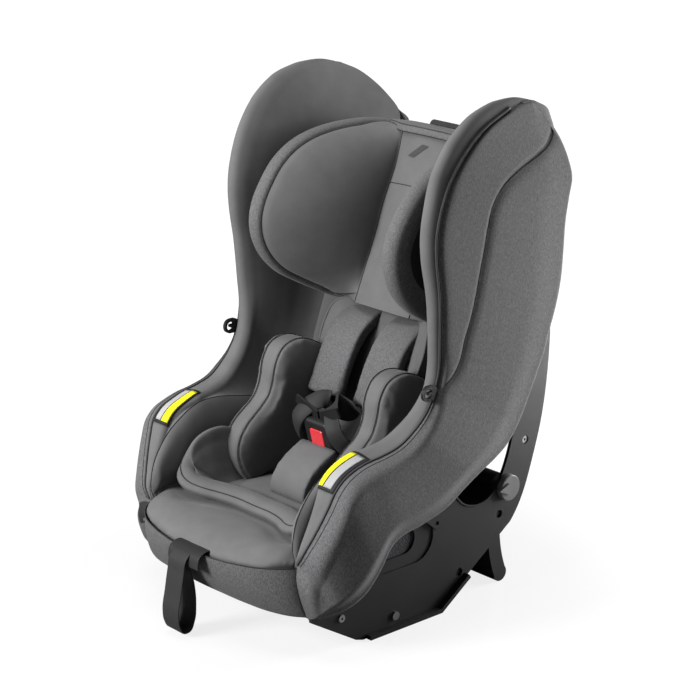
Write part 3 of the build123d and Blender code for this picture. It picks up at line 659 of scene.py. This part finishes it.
def lining():
    """(stations, rows, 3) surface of the smooth lining: piping, nose, inner face, inner end."""
    e = paced(EDGE, EDGE_MARKS, STATIONS, LINING_START, 1)
    i = paced(INNER, INNER_MARKS, STATIONS, LINING_START, 1)
    s = np.linspace(LINING_START, 1, STATIONS)
    out = outward(e)
    high = np.interp(s, [0.08, 0.12, 0.2, 0.27, 0.36, 0.46, 0.50, 0.56, 0.64, 0.69, 0.72, 0.77, 0.82,
                         0.865, 0.91, 0.945, 0.975, 1.0],
                     [1, 2, 4, 5, 5.5, 6, 7.5, 8, 10, 12, 12.5, 15.5, 21.5, 25, 23.5, 18.5, 9, 1])
    apex = np.interp(s, [0.08, 0.12, 0.2, 0.27, 0.36, 0.46, 0.56, 0.69, 0.72, 0.82, 0.865, 0.91, 0.945,
                         0.975, 1.0],
                     [1, 9, 22, 28, 20, 10, 9, 12, 12, 11, 10, 9, 8, 5, 0.3])
    wide = np.interp(s, [0.08, 0.12, 0.20, 0.27, 0.90, 0.96, 1.0], [0.1, 0.5, 0.9, 1, 1, 0.7, 0.05])
    rows = [e]
    steep = ramp(s, 0.3, 0.46)
    for f, h in ((0.12, 0.25 + 0.15 * steep), (0.4, 0.6 + 0.2 * steep), (1.0, 1.0)):
        rows.append(e + out * (high * h)[:, None] - X * (apex * f)[:, None])
    for dx, dh in ((5, 1), (9, 4), (12, 9)):
        rows.append(e + out * (high - dh * wide)[:, None] - X * (apex + dx * wide)[:, None])
    last = rows[-1]
    wing = ramp(s, 0.42, 0.56)
    for w, wing_turn in ((0.12, 0.13), (0.3, 0.27), (0.5, 0.39), (0.7, 0.51), (0.88, 0.72), (1.0, 1)):
        q = last * (1 - w) + i * w
        turn = w**2.0 * (1 - wing) + wing * wing_turn
        q[:, 0] = last[:, 0] * (1 - turn) + i[:, 0] * turn
        rows.append(q)
    return np.stack([even(smooth(r), 72) for r in np.stack(rows, 1)]), s


panel = outer_panel()
lining_grid, lining_share = lining()

for sign in (RIGHT, LEFT):
    side = NAMES[sign]
    cover = grid(f"side_panel_{side}", flip_x(panel, sign), MELANGE, flip=sign == LEFT)
    inner = grid(f"wing_lining_{side}", flip_x(lining_grid, sign), SMOOTH, flip=sign == RIGHT)
    belongs(cover, "seat", "knit_melange", f"wing_cover_{side}")
    belongs(inner, "seat", "knit_smooth", f"wing_pad_{side}")
    piped = slice(int(0.085 * STATIONS), -7)
    path = edge[piped] + X + outward(edge)[piped] * 0.9
    belongs(tube(f"piping_{side}", flip_x(path, sign), 1.5, PIPING), "seat", "knit_smooth")
    # the two covers' folded ends where they meet on the crown
    fold = [(193, 186, 688), (191, 199, 688), (190, 209, 686.5), (189, 222, 681), (186, 238, 673)]
    fold = even(smooth(fold), 30)
    belongs(tube(f"crown_fold_{side}", flip_x(fold, sign), 2.4, MELANGE), "seat", "knit_melange")
    # row of stitching just outside the piping, seen as a second fine line
    stitch = flip_x(panel[piped, 9] + X * 0.2, sign)
    # a dark cord in the groove of the raised seam: painted shadow along the real seam
    line = on_surface(cover, flip_x(panel_seam + X * 210, sign), 0.1)
    belongs(tube(f"panel_seam_{side}", line, 0.6, SEAM), "seat", "webbing")
    belongs(tube(f"edge_stitch_{side}", stitch, 0.55, SEAM), "seat", "webbing")

# ---------------------------------------------------------------- apron
TOP_SEAM = mirrored([(-154, -170, 126), (-146, -182, 126), (-120, -204, 125), (-80, -218, 123),
                     (-40, -224, 121), (0, -226, 120)])
LOW_SEAM = mirrored([(-161, -161, 56), (-150, -172, 57), (-118, -188, 59), (-80, -196, 61), (-40, -199, 62),
                     (0, -200, 62)])


def apron_grid():
    """(stations, rows, 3) surface of the apron with its rolled lower edge, then its top line and normals."""
    n, m = 150, 44
    top = even(smooth(TOP_SEAM), n)
    low = even(smooth(LOW_SEAM), n)
    t = np.gradient(top, axis=0)
    out = np.stack([t[:, 1], -t[:, 0], np.zeros(n)], 1)
    out /= np.linalg.norm(out, axis=1)[:, None]
    v = np.linspace(0, 1, m)
    ends = np.sin(np.linspace(0, np.pi, n)) ** 0.35
    p = top[:, None] * (1 - v)[None, :, None] + low[:, None] * v[None, :, None]
    swell = (np.sin(np.pi * np.clip(v, 0, 1)) ** 0.55) * (0.75 + 0.5 * v)
    p += out[:, None] * (7.5 * ends[:, None] * swell[None, :])[..., None]
    # rolled lower edge
    v2 = np.linspace(0, 1, 12)[1:]
    inner_low = low - out * 16 + np.array([0, 0, 12])
    mid = low + np.array([0, 0, -3]) - out * 5
    p = np.concatenate([p, bezier(v2, p[:, -1], mid, inner_low)], 1)
    # the ends tuck under the side covers
    left = [p[0] + np.array(d) for d in ((-7, 14, -2), (-3, 6, -1))]
    right = [p[-1] + np.array(d) for d in ((3, 6, -1), (7, 14, -2))]
    return np.concatenate([np.stack(left), p, np.stack(right)]), top, out


apron_points, apron_top, apron_out = apron_grid()
apron = grid("apron_cover", apron_points, MELANGE)
belongs(apron, "seat", "knit_melange", "apron_cover")
belongs(tube("apron_seam", apron_top + apron_out * 0.8, 0.8, SEAM), "seat", "webbing")
for sign in (RIGHT, LEFT):
    line = flip_x(even(smooth(EDGE[:4]), 30), sign) + np.array([0, -0.6, 0])
    belongs(tube(f"corner_seam_{NAMES[sign]}", line, 0.8, SEAM), "seat", "webbing")

# ---------------------------------------------------------------- seat cushion and hip pads
front = even(smooth(TOP_SEAM), 61)[:, :2]
outline = np.vstack([front + np.array([0, 2.0]), [[151, -120], [149, 66]], [[-149, 66], [-151, -120]]])
cushion = prism("seat_cushion", outline, 103, 146, 2, SMOOTH)
remesh(cushion, 5, 4)
co = coords(cushion)
dist = near(np.c_[co[:, :2], np.zeros(len(co))], np.c_[front, np.zeros(len(front))])
depth = np.interp(np.abs(co[:, 0]), [0, 60, 110, 150], [22, 22, 19, 16])
reach = np.interp(np.abs(co[:, 0]), [0, 60, 110, 150], [62, 60, 44, 30])
co[:, 2] -= np.where(co[:, 2] > 118, depth * (1 - np.clip(dist / reach, 0, 1)) ** 2.2, 0)
# lower towards the middle and under the front lip of the insert
LIP = mirrored([(-134, -118, 0), (-128, -141, 0), (-112, -146, 0), (-90, -141, 0), (-65, -128, 0),
                (-35, -120, 0), (0, -119, 0)])
lip = even(smooth(LIP), 120)
sink = 6.5 * (1 - np.clip(np.abs(co[:, 0]) / 140, 0, 1) ** 3) \
    + 7.0 * np.exp(-(near(np.c_[co[:, :2], np.zeros(len(co))], lip) / 17) ** 2)
co[:, 2] -= sink * ramp(co[:, 2], 116, 130)
set_coords(cushion, co)
cloth(cushion, 4.0, 3.0)

for sign in (RIGHT, LEFT):
    n = 90
    i = paced(INNER, INNER_MARKS, n, 0.08, 0.45)
    low = i.copy()
    low[:, 0] = np.interp(i[:, 1], [-172, -120, 0, 110], [147, 138, 134, 132])
    low[:, 2] = np.minimum(138, i[:, 2] - 1)
    low[:, 1] = np.where(i[:, 2] < 150, i[:, 1] + 3, i[:, 1] * 0.92 - 6)
    rows = []
    for w in np.linspace(0, 1, 26):
        q = i * (1 - w) + low * w
        puff = math.sin(math.pi * min(1.0, w * 1.15 + 0.02)) ** 0.6 if w < 0.85 else 0.25
        q[:, 0] -= 9.0 * puff * ramp(i[:, 2], 134, 190)
        q[:, 2] += 5.0 * math.sin(math.pi * min(1, w * 2.2)) * ramp(i[:, 2], 140, 200)
        rows.append(q)
    p = np.stack([even(smooth(r), 40) for r in np.stack(rows, 1)])
    obj = grid(f"hip_pad_{NAMES[sign]}", flip_x(p, sign), SMOOTH, flip=sign == RIGHT)
    belongs(obj, "seat", "knit_smooth")
    seam = paced(INNER, INNER_MARKS, n, 0.085, 0.45) + np.array([-0.4, 0, 0.2])
    belongs(tube(f"hip_seam_{NAMES[sign]}", flip_x(seam, sign), 0.65, SEAM), "seat", "webbing")

# ---------------------------------------------------------------- insert
RIM = mirrored([(-126, 70, 205), (-127, 20, 205), (-128, -20, 207), (-129, -51, 212), (-130, -70, 217),
                (-131, -88, 217), (-133, -104, 212), (-134, -118, 202), (-134, -129, 186), (-128, -137, 171),
                (-112, -140, 163), (-90, -134, 158), (-65, -121, 154), (-35, -113, 152), (0, -112, 151)])


def ring_grid():
    """(stations, rows, 3) surface of the leg rest: two raised lobes joined by a low lip at the front."""
    n = 170
    rim = even(smooth(RIM), n)
    t = np.gradient(rim * np.array([1, 1, 0]), axis=0)
    side = np.stack([-t[:, 1], t[:, 0], np.zeros(n)], 1)
    side /= np.linalg.norm(side, axis=1)[:, None]
    side *= np.sign(np.sum(side * (np.array([0, -40, 0]) - rim), 1))[:, None]
    for _ in range(14):
        side[1:-1] = (side[:-2] + side[1:-1] * 2 + side[2:]) / 4
    side /= np.linalg.norm(side, axis=1)[:, None]
    lobe = ramp(rim[:, 2], 158, 205)
    rows = []
    # under lip, outer swell, piping, top, slope into the bowl
    for inn, dz in ((16, -17), (7, -15.5), (-1, -13), (-5.5, -9.5), (-6, -5), (0, 0), (6, 4), (13, 6)):
        q = rim + side * inn * (1 - 0.3 * lobe)[:, None]
        q[:, 2] = rim[:, 2] + dz * (1 + 0.9 * lobe * (dz < 0))
        q -= X * (np.sign(q[:, 0]) * 4.0 * lobe * max(0, 1 - inn / 12))[:, None]
        rows.append(q)
    for inn, near_lip, lobe_keep in ((22, 5, 0.82), (32, 1, 0.42), (42, -6, 0.16), (54, -16, 0.04),
                                     (72, -24, 0.0)):
        q = rim + side * inn * (1 - 0.3 * lobe)[:, None]
        q[:, 2] = (rim[:, 2] + near_lip) * (1 - lobe) + lobe * (134 + (rim[:, 2] - 134) * lobe_keep)
        rows.append(q)
    return np.stack([even(smooth(r), 56) for r in np.stack(rows, 1)]), rim


ring_points, ring_rim = ring_grid()
ring = grid("insert_seat_ring", ring_points, SMOOTH)
belongs(ring, "seat", "knit_smooth", "insert_seat")
path = on_surface(ring, ring_rim[10:-10], 0.2)
belongs(tube("insert_seat_piping", path, 0.75, SEAM), "seat", "webbing")
FLOOR_PAD = [(-84, -86), (0, -94), (84, -86), (106, -30), (100, 50), (-100, 50), (-106, -30)]
floor_pad = prism("insert_seat_floor", even(smooth(FLOOR_PAD, closed=True), 60), 134, 143, 2, SMOOTH)
remesh(floor_pad, 5, 4)
cloth(floor_pad, 4.0, 3.0)

BOLSTER = [(-44, 140), (-60, 163), (-66, 184), (-63, 206), (-49, 228), (-30, 246), (-14, 262), (-4, 284),
           (5, 309), (21, 328), (43, 334), (74, 325), (103, 304), (112, 250), (86, 190), (50, 152), (0, 140)]
bolsters = {}
for sign in (RIGHT, LEFT):
    o = even(smooth(BOLSTER, closed=True), 120)[:-1]
    depth = ramp(o[:, 0], -60, 90)
    a, b = 91 - 9 * depth, 127 + 2 * depth
    low, high = (a, b) if sign == RIGHT else (-b, -a)
    obj = prism(f"insert_bolster_{NAMES[sign]}", o, low, high, 0, SMOOTH)
    remesh(obj, 4, 8)
    bolsters[sign] = obj
    cloth(obj, 7.0, 4.0)

BACK_PAD = mirrored([(-96, -262), (-101, -200), (-103, -120), (-102, -62), (-95, -40), (-82, -30),
                     (-60, -28), (0, -30)]) + [(0, -268)]


def curled_on_back(p):
    """Places points given as across, up the back, in front of it; the pad's sides curl forward."""
    forward = p[:, 2] + 30 * ramp(np.abs(p[:, 0]), 40, 112)
    return np.stack([p[:, 0], BACK_Y + UP[1] * p[:, 1] + FORWARD[1] * forward,
                     BACK_Z + UP[2] * p[:, 1] + FORWARD[2] * forward], 1)


back_outline = even(smooth(BACK_PAD, closed=True), 110)[:-1]
back_pad = prism("insert_back_pad", back_outline, 3, 20, 2, SMOOTH)
remesh(back_pad, 4.5, 4)
set_coords(back_pad, curled_on_back(coords(back_pad)))
piped_part = back_outline[5:-12]
back_seam = curled_on_back(np.c_[piped_part, np.full(len(piped_part), 19.0)])
cloth(back_pad, 5.0, 4.0)

# cover of the shell's back, seen round the insert
across = np.linspace(-147, 147, 40)
heights = np.linspace(-292, -12, 30)
back_cover = np.stack([[on_back(x, h, 2.5 + 10 * ramp(abs(x), 120, 147)) for h in heights] for x in across])
belongs(grid("back_lining", back_cover, SMOOTH), "seat", "knit_smooth")

# ---------------------------------------------------------------- harness pads
def band(line, n, half):
    """Closed outline of a band along a side-view line, half mm to either side of it."""
    c = even(smooth(line), n)
    t = np.gradient(c, axis=0)
    t /= np.linalg.norm(t, axis=1)[:, None]
    normal = np.stack([-t[:, 1], t[:, 0]], 1)
    return np.vstack([c + normal * half, (c - normal * half)[::-1]])


PAD_LINE = [(158, 364), (142, 364), (120, 356), (100, 340), (85, 318), (72, 292), (62, 270), (57, 258)]
pads = {}
for sign in (RIGHT, LEFT):
    low, high = (14, 79) if sign == RIGHT else (-79, -14)
    obj = prism(f"shoulder_pad_{NAMES[sign]}", band(PAD_LINE, 40, 8.5), low, high, 0, MELANGE)
    remesh(obj, 3.2, 10)
    pads[sign] = obj
    cloth(obj, 5.0, 4.0)

CROTCH_LINE = [(-47, 146), (-44, 162), (-31, 179), (-12, 192), (10, 202)]
crotch = prism("crotch_pad", band(CROTCH_LINE, 30, 10), -35.5, 35.5, 0, SMOOTH)
remesh(crotch, 3.2, 5)
cloth(crotch, 5.0, 4.0)

# ---------------------------------------------------------------- headrest
RIM_H = [(-92, 226, 618), (-108, 205, 621), (-120, 169, 621), (-127, 135, 618), (-131, 100, 611),
         (-133, 72, 600), (-134, 45, 581), (-134, 22, 553), (-134, 8, 528), (-134, 2, 505), (-134, 4, 478),
         (-133, 15, 452),
         (-131, 40, 424), (-128, 72, 404), (-122, 104, 387), (-112, 128, 375), (-92, 142, 371)]
CREASE = [(-55, 212, 616), (-55, 197, 563), (-55, 175, 516), (-55, 158, 469), (-55, 141, 428),
          (-55, 120, 379)]


def headrest_face():
    """(stations, rows, 3) front surface: left rim seam, crease, centre, crease, right rim seam."""
    n = 130
    rim = even(smooth(RIM_H), n)
    crease = even(smooth(CREASE), n)
    t = np.gradient(rim[:, 1:], axis=0)
    t /= np.linalg.norm(t, axis=1)[:, None]
    inn = np.stack([np.zeros(n), t[:, 1], -t[:, 0]], 1)
    inn *= np.sign(np.sum(inn[:, 1:] * (np.array([150, 500]) - rim[:, 1:]), 1))[:, None]
    ends = np.interp(np.arange(n), [0, 14, n - 15, n - 1], [0.45, 1, 1, 0.3])[:, None]
    seam = rim + inn * 7.5 * ends + X * 11 * ends
    rows = []
    for w in np.linspace(0, 1, 34):
        q = seam * (1 - w) + crease * w
        b = 15 * math.sin(math.pi * min(1, w * 1.02)) ** 0.6
        face = np.cross(crease - seam, np.gradient(seam * 0.5 + crease * 0.5, axis=0))
        face /= np.linalg.norm(face, axis=1)[:, None]
        face *= np.sign(face[:, 0])[:, None]
        turn = np.linspace(0.02, np.pi - 0.02, n)
        fall = np.interp(turn, [np.pi / 2, np.pi], [0.5, 1.1])
        rows.append(q + face * b * (np.sin(turn) ** fall)[:, None])
    for w in np.linspace(0, 1, 18)[1:]:
        q = crease.copy()
        q[:, 0] = -55 * (1 - w)
        rows.append(q + FORWARD * (6.0 * math.sin(math.pi / 2 * w) ** 0.8))
    half = np.stack(rows, 1)
    other = half[:, ::-1][:, 1:] * np.array([-1, 1, 1])
    return np.concatenate([half, other], 1), rim, inn, seam, ends


face_points, rim_h, rim_in, seam_h, rim_ends = headrest_face()
face_obj = grid("headrest_face", face_points, SMOOTH)
belongs(face_obj, "headrest", "knit_smooth", "headrest_pad")


def headrest_rim(sign):
    """Melange band round a headrest wing, from the inner seam over the nose to the outer side."""
    rows = []
    for inn, dx in ((7.5, 11), (3.5, 9.5), (0.6, 5.5), (-0.5, 0), (0.5, -7), (5, -13), (14, -16), (24, -16.5),
                    (34, -13)):
        rows.append(rim_h + rim_in * (inn * rim_ends) + X * (dx * rim_ends))
    p = np.stack([even(smooth(r), 40) for r in np.stack(rows, 1)])
    return flip_x(p, -sign)


for sign in (RIGHT, LEFT):
    side = NAMES[sign]
    obj = grid(f"headrest_rim_{side}", headrest_rim(sign), MELANGE, flip=sign == LEFT)
    belongs(obj, "headrest", "knit_melange", f"headrest_wing_{side}")
    for k, (off, x) in enumerate(((0.0, 0.0), (3.2, 2.2))):
        line = seam_h + rim_in * off + np.array([x, -0.6, 0])
        belongs(tube(f"headrest_seam_{side}_{k}", flip_x(line, -sign), 0.6, SEAM), "headrest", "webbing")
    # black sheet over the wing's outer side: painted shadow of the slot between the headrest and the seat's
    # wing
    outer = rim_h + rim_in * 33 + np.array([-13.5, 0, 0])
    hub = np.array([-142, 150, 500])
    rows = [outer * (1 - w) + hub * w for w in np.linspace(0, 1, 12)]
    obj = grid(f"headrest_side_shadow_{side}", flip_x(np.stack(rows, 1), -sign), BLACK, flip=sign == LEFT)
    belongs(obj, "headrest", "base_plastic")

# top band of the headrest, from wing to wing
top = even(smooth(mirrored([(-92, 226, 618), (-50, 222, 620), (0, 220, 621)])), 60)
full = (0.35 + 0.65 * ramp(92 - np.abs(top[:, 0]), 0, 40))[:, None]
TOP_BAND = [(-17, -9), (-16.5, -6), (-12, -0.5), (-5, 1.5), (4, 1.5), (12, 0), (17, -6), (15, -18), (2, -52)]
rows = [top + np.array([0, dy, dz]) * full for dy, dz in TOP_BAND]
band_grid = np.stack([even(smooth(r), 24) for r in np.stack(rows, 1)])
obj = grid("headrest_top_band", band_grid, MELANGE, flip=True)
belongs(obj, "headrest", "knit_melange")
belongs(tube("headrest_top_seam", rows[0] + np.array([0, -0.5, 0]), 0.7, SEAM), "headrest", "webbing")
belongs(tube("headrest_mid_seam", rows[2] + np.array([0, -0.3, 0.2]), 0.5, SEAM), "headrest", "webbing")
crease_line = even(smooth(CREASE), 80)
for sign in (RIGHT, LEFT):
    line = flip_x(crease_line + FORWARD * 0.2, -sign)
    belongs(tube(f"headrest_crease_{NAMES[sign]}", line, 0.65, SEAM), "headrest", "webbing")
x = np.linspace(-55, 55, 40)
bow = 1 - (x / 55) ** 2
across = on_surface(face_obj, np.stack([x, 186 - 6 * bow, 540 + 4 * bow], 1), 0.1)
belongs(tube("headrest_cross_seam", across, 0.6, SEAM), "headrest", "webbing")

# small blank tag sewn to the headrest's centre panel
cells = [on_surface(face_obj, [(-28 + 11 * a + 23 * b, 160 + 0.364 * (173 - a + 19 * b), 573 - a + 19 * b)
                               for b in np.linspace(0, 1, 8)], 0.8) for a in np.linspace(0, 1, 5)]
belongs(grid("headrest_tag", np.stack(cells), SMOOTH_DARK), "headrest", "webbing")

# ---------------------------------------------------------------- run the cloth
simulate()
for obj in (cushion, floor_pad, bolsters[RIGHT], bolsters[LEFT], back_pad, pads[RIGHT], pads[LEFT], crotch):
    subdivide(obj)
belongs(cushion, "seat", "knit_smooth", "seat_cushion")
belongs(floor_pad, "seat", "knit_smooth")
for sign in (RIGHT, LEFT):
    side = NAMES[sign]
    belongs(bolsters[sign], "seat", "knit_smooth", f"insert_bolster_{side}")
    belongs(pads[sign], "seat", "knit_melange", f"shoulder_pad_{side}")
    line = even(smooth(BOLSTER[:13]), 150)
    for k, x in enumerate((92, 121)):
        path = np.c_[np.full(len(line), float(sign * x)), line]
        path = on_surface(bolsters[sign], path, 0.2)
        groove(bolsters[sign], path, 1.6, 3.0)
        belongs(tube(f"bolster_seam_{side}_{k}", path, 0.7, SEAM), "seat", "webbing")
belongs(back_pad, "seat", "knit_smooth", "insert_back")
path = on_surface(back_pad, back_seam, 0.3)
belongs(tube("insert_back_piping", path, 1.8, SMOOTH), "seat", "knit_smooth")
belongs(crotch, "seat", "knit_smooth", "crotch_pad")

# ---------------------------------------------------------------- webbing
for sign in (RIGHT, LEFT):
    side = NAMES[sign]
    front = np.array([0, -0.93, 0.36])
    path = [(46, 205, 296), (46, 194, 340), (46, 176, 366), (46, 156, 365), (46, 120, 357), (46, 100, 341),
            (46, 85, 319), (46, 71, 292), (44, 60, 268), (36, 48, 257), (25, 38, 257), (14, 30, 262),
            (6, 26, 266)]
    # the strap turns from flat on the chest to nearly upright at the buckle
    twist = [(1, 0, 0)] * 9 + [(0.9, 0.1, 0.35), (0.6, 0.25, 0.75), (0.45, 0.3, 0.85), (0.4, 0.3, 0.85)]
    obj = ribbon(f"shoulder_strap_{side}", flip_x(path, sign), flip_x(twist, sign), 34, 1.8, WEB, 160, 1.5)
    belongs(obj, "seat", "webbing", f"shoulder_strap_{side}")
    path = flip_x([(4, 28, 268), (9, 22, 270), (17, 12, 266), (27, 3, 256), (37, -2, 241), (45, 4, 224),
                   (54, 28, 208), (66, 68, 198), (78, 104, 190)], sign)
    across = np.cross(np.gradient(path, axis=0), front) * sign
    obj = ribbon(f"hip_strap_{side}", path, across, 27, 2.4, WEB, 160, 3.0)
    belongs(obj, "seat", "webbing", f"hip_strap_{side}")

CROTCH_STRAP = [(0, -44, 92), (0, -44, 120), (0, -40, 146), (0, -18, 170), (0, 18, 186), (0, 22, 196)]
TETHER = [on_back(0, 60, -7), (0, 236, 470), (0, 272, 446), (0, 279, 400), (0, 279, 350), (0, 279, 287)]
# from the yoke behind the back, under the pan and out through the adjuster
ADJUSTER = [(0, 204, 256), (0, 196, 238), (0, 134, 222), (0, 84, 100), (0, 62, 86), (0, -60, 86),
            (0, -136, 87), (0, -150, 105), (0, -176, 107)]
LOOP = [(0, -202, 109), (0, -217, 118), (0, -232, 121), (-1, -241, 112), (-2, -245, 92), (-4, -249, 62),
        (-6, -252, 36), (-6, -250, 18), (-6, -243, 7), (-5, -234, 8), (-4, -227, 22), (-3, -225, 46),
        (-2, -228, 76), (-1, -234, 100), (0, -233, 112)]
FLAP = [(4, -212, 125), (4, -226, 124.5), (4, -234.5, 119), (4, -237, 108), (4, -237, 103)]
for name, path, width, thick, material, points in (("crotch_strap", CROTCH_STRAP, 36, 1.8, WEB, 60),
                                                   ("tether_strap", TETHER, 38, 2, WEB, 60),
                                                   ("adjuster_strap", ADJUSTER + LOOP, 35, 1.8, WEB, 320),
                                                   ("adjuster_flap", FLAP, 64, 1.2, LABEL_BLACK, 60)):
    obj = ribbon(name, path, [X] * len(path), width, thick, material, points)
    belongs(obj, "seat", "webbing", name)


def patch_normals(patch, axis):
    """Unit normals of a patch of points, turned to the positive side of an axis."""
    n = np.cross(np.gradient(patch, axis=0), np.gradient(patch, axis=1))
    n /= np.linalg.norm(n, axis=2)[..., None]
    return n * np.sign(n[..., axis:axis + 1])


# blank tag sewn into the left corner seam
patch = panel[(share > 0.04) & (share < 0.082)][:, 2:44]
tag = grid("side_tag", flip_x(patch + patch_normals(patch, 0) * 0.9, LEFT), LABEL_BLACK, flip=True)
belongs(tag, "seat", "webbing")

# ---------------------------------------------------------------- labels
label_rows = lining_grid[(lining_share > 0.193) & (lining_share < 0.280)]
patch = np.stack([stretch(r, 1.6, 35.0, 20) for r in label_rows])
normal = patch_normals(patch, 2)
ALL_ROWS, INNER_ROWS = slice(None), slice(1, -1)
# black ground, then a blank grey and a blank yellow field: columns, rows, material, height above the cover
FIELDS = [(slice(0, 19), ALL_ROWS, LABEL_BLACK, 0.9), (slice(3, 11), INNER_ROWS, LABEL_GREY, 1.3),
          (slice(11, 18), INNER_ROWS, LABEL_YELLOW, 1.3)]
for sign in (RIGHT, LEFT):
    side = NAMES[sign]
    for k, (columns, rows, material, up) in enumerate(FIELDS):
        field = patch[rows, columns] + normal[rows, columns] * up
        obj = grid(f"label_{side}_{k}", flip_x(field, sign), material, flip=sign == RIGHT)
        thicken = obj.modifiers.new("thick", "SOLIDIFY")
        thicken.thickness = 0.5 * MM
        bake(obj)
        if k == 0:
            belongs(obj, "seat", "webbing", f"side_label_{side}")
        else:
            belongs(obj, "seat", "label_yellow")

# ---------------------------------------------------------------- floor, light, camera
def floor():
    """Pale studio floor: white to the camera apart from soft contact shade and a faint reflection."""
    m, t, s = node_material("floor")
    s.inputs["Base Color"].default_value = (0.22, 0.22, 0.22, 1)
    s.inputs["Roughness"].default_value = 1.0
    at = place(t)
    glow = t.nodes.new("ShaderNodeEmission")
    glow.inputs[0].default_value = (1, 1, 1, 1)
    gloss = t.nodes.new("ShaderNodeBsdfGlossy")
    gloss.inputs["Color"].default_value = (1, 1, 1, 1)
    uneven = maths(t, "MULTIPLY", noise(t, at, 4, detail=2), 0.03)
    t.links.new(maths(t, "ADD", uneven, 0.10), gloss.inputs["Roughness"])
    diffuse = t.nodes.new("ShaderNodeBsdfDiffuse")
    diffuse.inputs[0].default_value = (0.16, 0.16, 0.16, 1)
    far = t.nodes.new("ShaderNodeVectorMath")
    far.operation = "LENGTH"
    t.links.new(at, far.inputs[0])
    reach = t.nodes.new("ShaderNodeMapRange")
    reach.inputs["From Min"].default_value = 0.35
    reach.inputs["From Max"].default_value = 1.1
    t.links.new(far.outputs["Value"], reach.inputs[0])
    # the glow is weaker near the seat than far out: painted contact shade round it
    t.links.new(maths(t, "ADD", maths(t, "MULTIPLY", reach.outputs[0], 0.16), 0.86), glow.inputs[1])
    add = t.nodes.new("ShaderNodeAddShader")
    t.links.new(glow.outputs[0], add.inputs[0])
    t.links.new(diffuse.outputs[0], add.inputs[1])
    face = t.nodes.new("ShaderNodeMixShader")
    mirror_share = 0.05
    faded = maths(t, "MULTIPLY", reach.outputs[0], mirror_share)
    t.links.new(maths(t, "SUBTRACT", mirror_share, faded), face.inputs[0])
    t.links.new(add.outputs[0], face.inputs[1])
    t.links.new(gloss.outputs[0], face.inputs[2])
    ray = t.nodes.new("ShaderNodeLightPath")
    out = next(n for n in t.nodes if n.type == "OUTPUT_MATERIAL")
    both = t.nodes.new("ShaderNodeMixShader")
    t.links.new(ray.outputs["Is Camera Ray"], both.inputs[0])
    t.links.new(s.outputs[0], both.inputs[1])
    t.links.new(face.outputs[0], both.inputs[2])
    t.links.new(both.outputs[0], out.inputs[0])
    bpy.ops.mesh.primitive_circle_add(vertices=96, radius=9, fill_type="NGON", location=(0, 0, -0.0005))
    o = bpy.context.object
    o.name = "floor"
    o.data.materials.append(m)


def area(name, location, target, size, power, size_y=None):
    """A soft area light in watts, aimed at a point."""
    d = bpy.data.lights.new(name, "AREA")
    d.energy = power
    d.size = size
    if size_y:
        d.shape = "RECTANGLE"
        d.size_y = size_y
    o = bpy.data.objects.new(name, d)
    bpy.context.scene.collection.objects.link(o)
    o.location = location
    o.rotation_euler = (Vector(target) - Vector(location)).to_track_quat("-Z", "Y").to_euler()


floor()
area("key", (-0.6, -2.35, 1.3), (0, 0, 0.35), 0.8, 93)
area("top", (0.0, -0.45, 2.5), (0, -0.05, 0.2), 1.0, 26)
area("rear_right", (0.46, 1.02, 0.3), (0.15, 0.1, 0.38), 0.5, 21, 0.8)

world = bpy.data.worlds.new("studio")
bpy.context.scene.world = world
world.use_nodes = True
sky = world.node_tree
sky.nodes.clear()
world_out = sky.nodes.new("ShaderNodeOutputWorld")
mix = sky.nodes.new("ShaderNodeMixShader")
ray = sky.nodes.new("ShaderNodeLightPath")
# a dim room for the light it gives, plain white behind the object for the camera
dim = sky.nodes.new("ShaderNodeBackground")
dim.inputs[0].default_value = (0.9, 0.9, 0.9, 1)
dim.inputs[1].default_value = 0.07
white = sky.nodes.new("ShaderNodeBackground")
white.inputs[0].default_value = (1, 1, 1, 1)
white.inputs[1].default_value = 1.0
sky.links.new(ray.outputs["Is Camera Ray"], mix.inputs[0])
sky.links.new(dim.outputs[0], mix.inputs[1])
sky.links.new(white.outputs[0], mix.inputs[2])
sky.links.new(mix.outputs[0], world_out.inputs[0])
bpy.context.scene.view_settings.view_transform = "Standard"

CAMERA_PLACE = (2.142, -1.867, 1.248)
LOOKING_ALONG = Vector((-0.70836, 0.63781, -0.30237))
cam = bpy.data.cameras.new("camera")
cam.lens = 113.5
cam.sensor_width = 36
camera = bpy.data.objects.new("camera", cam)
bpy.context.scene.collection.objects.link(camera)
camera.location = CAMERA_PLACE
camera.rotation_mode = "QUATERNION"
camera.rotation_quaternion = LOOKING_ALONG.to_track_quat("-Z", "Y")
bpy.context.scene.camera = camera
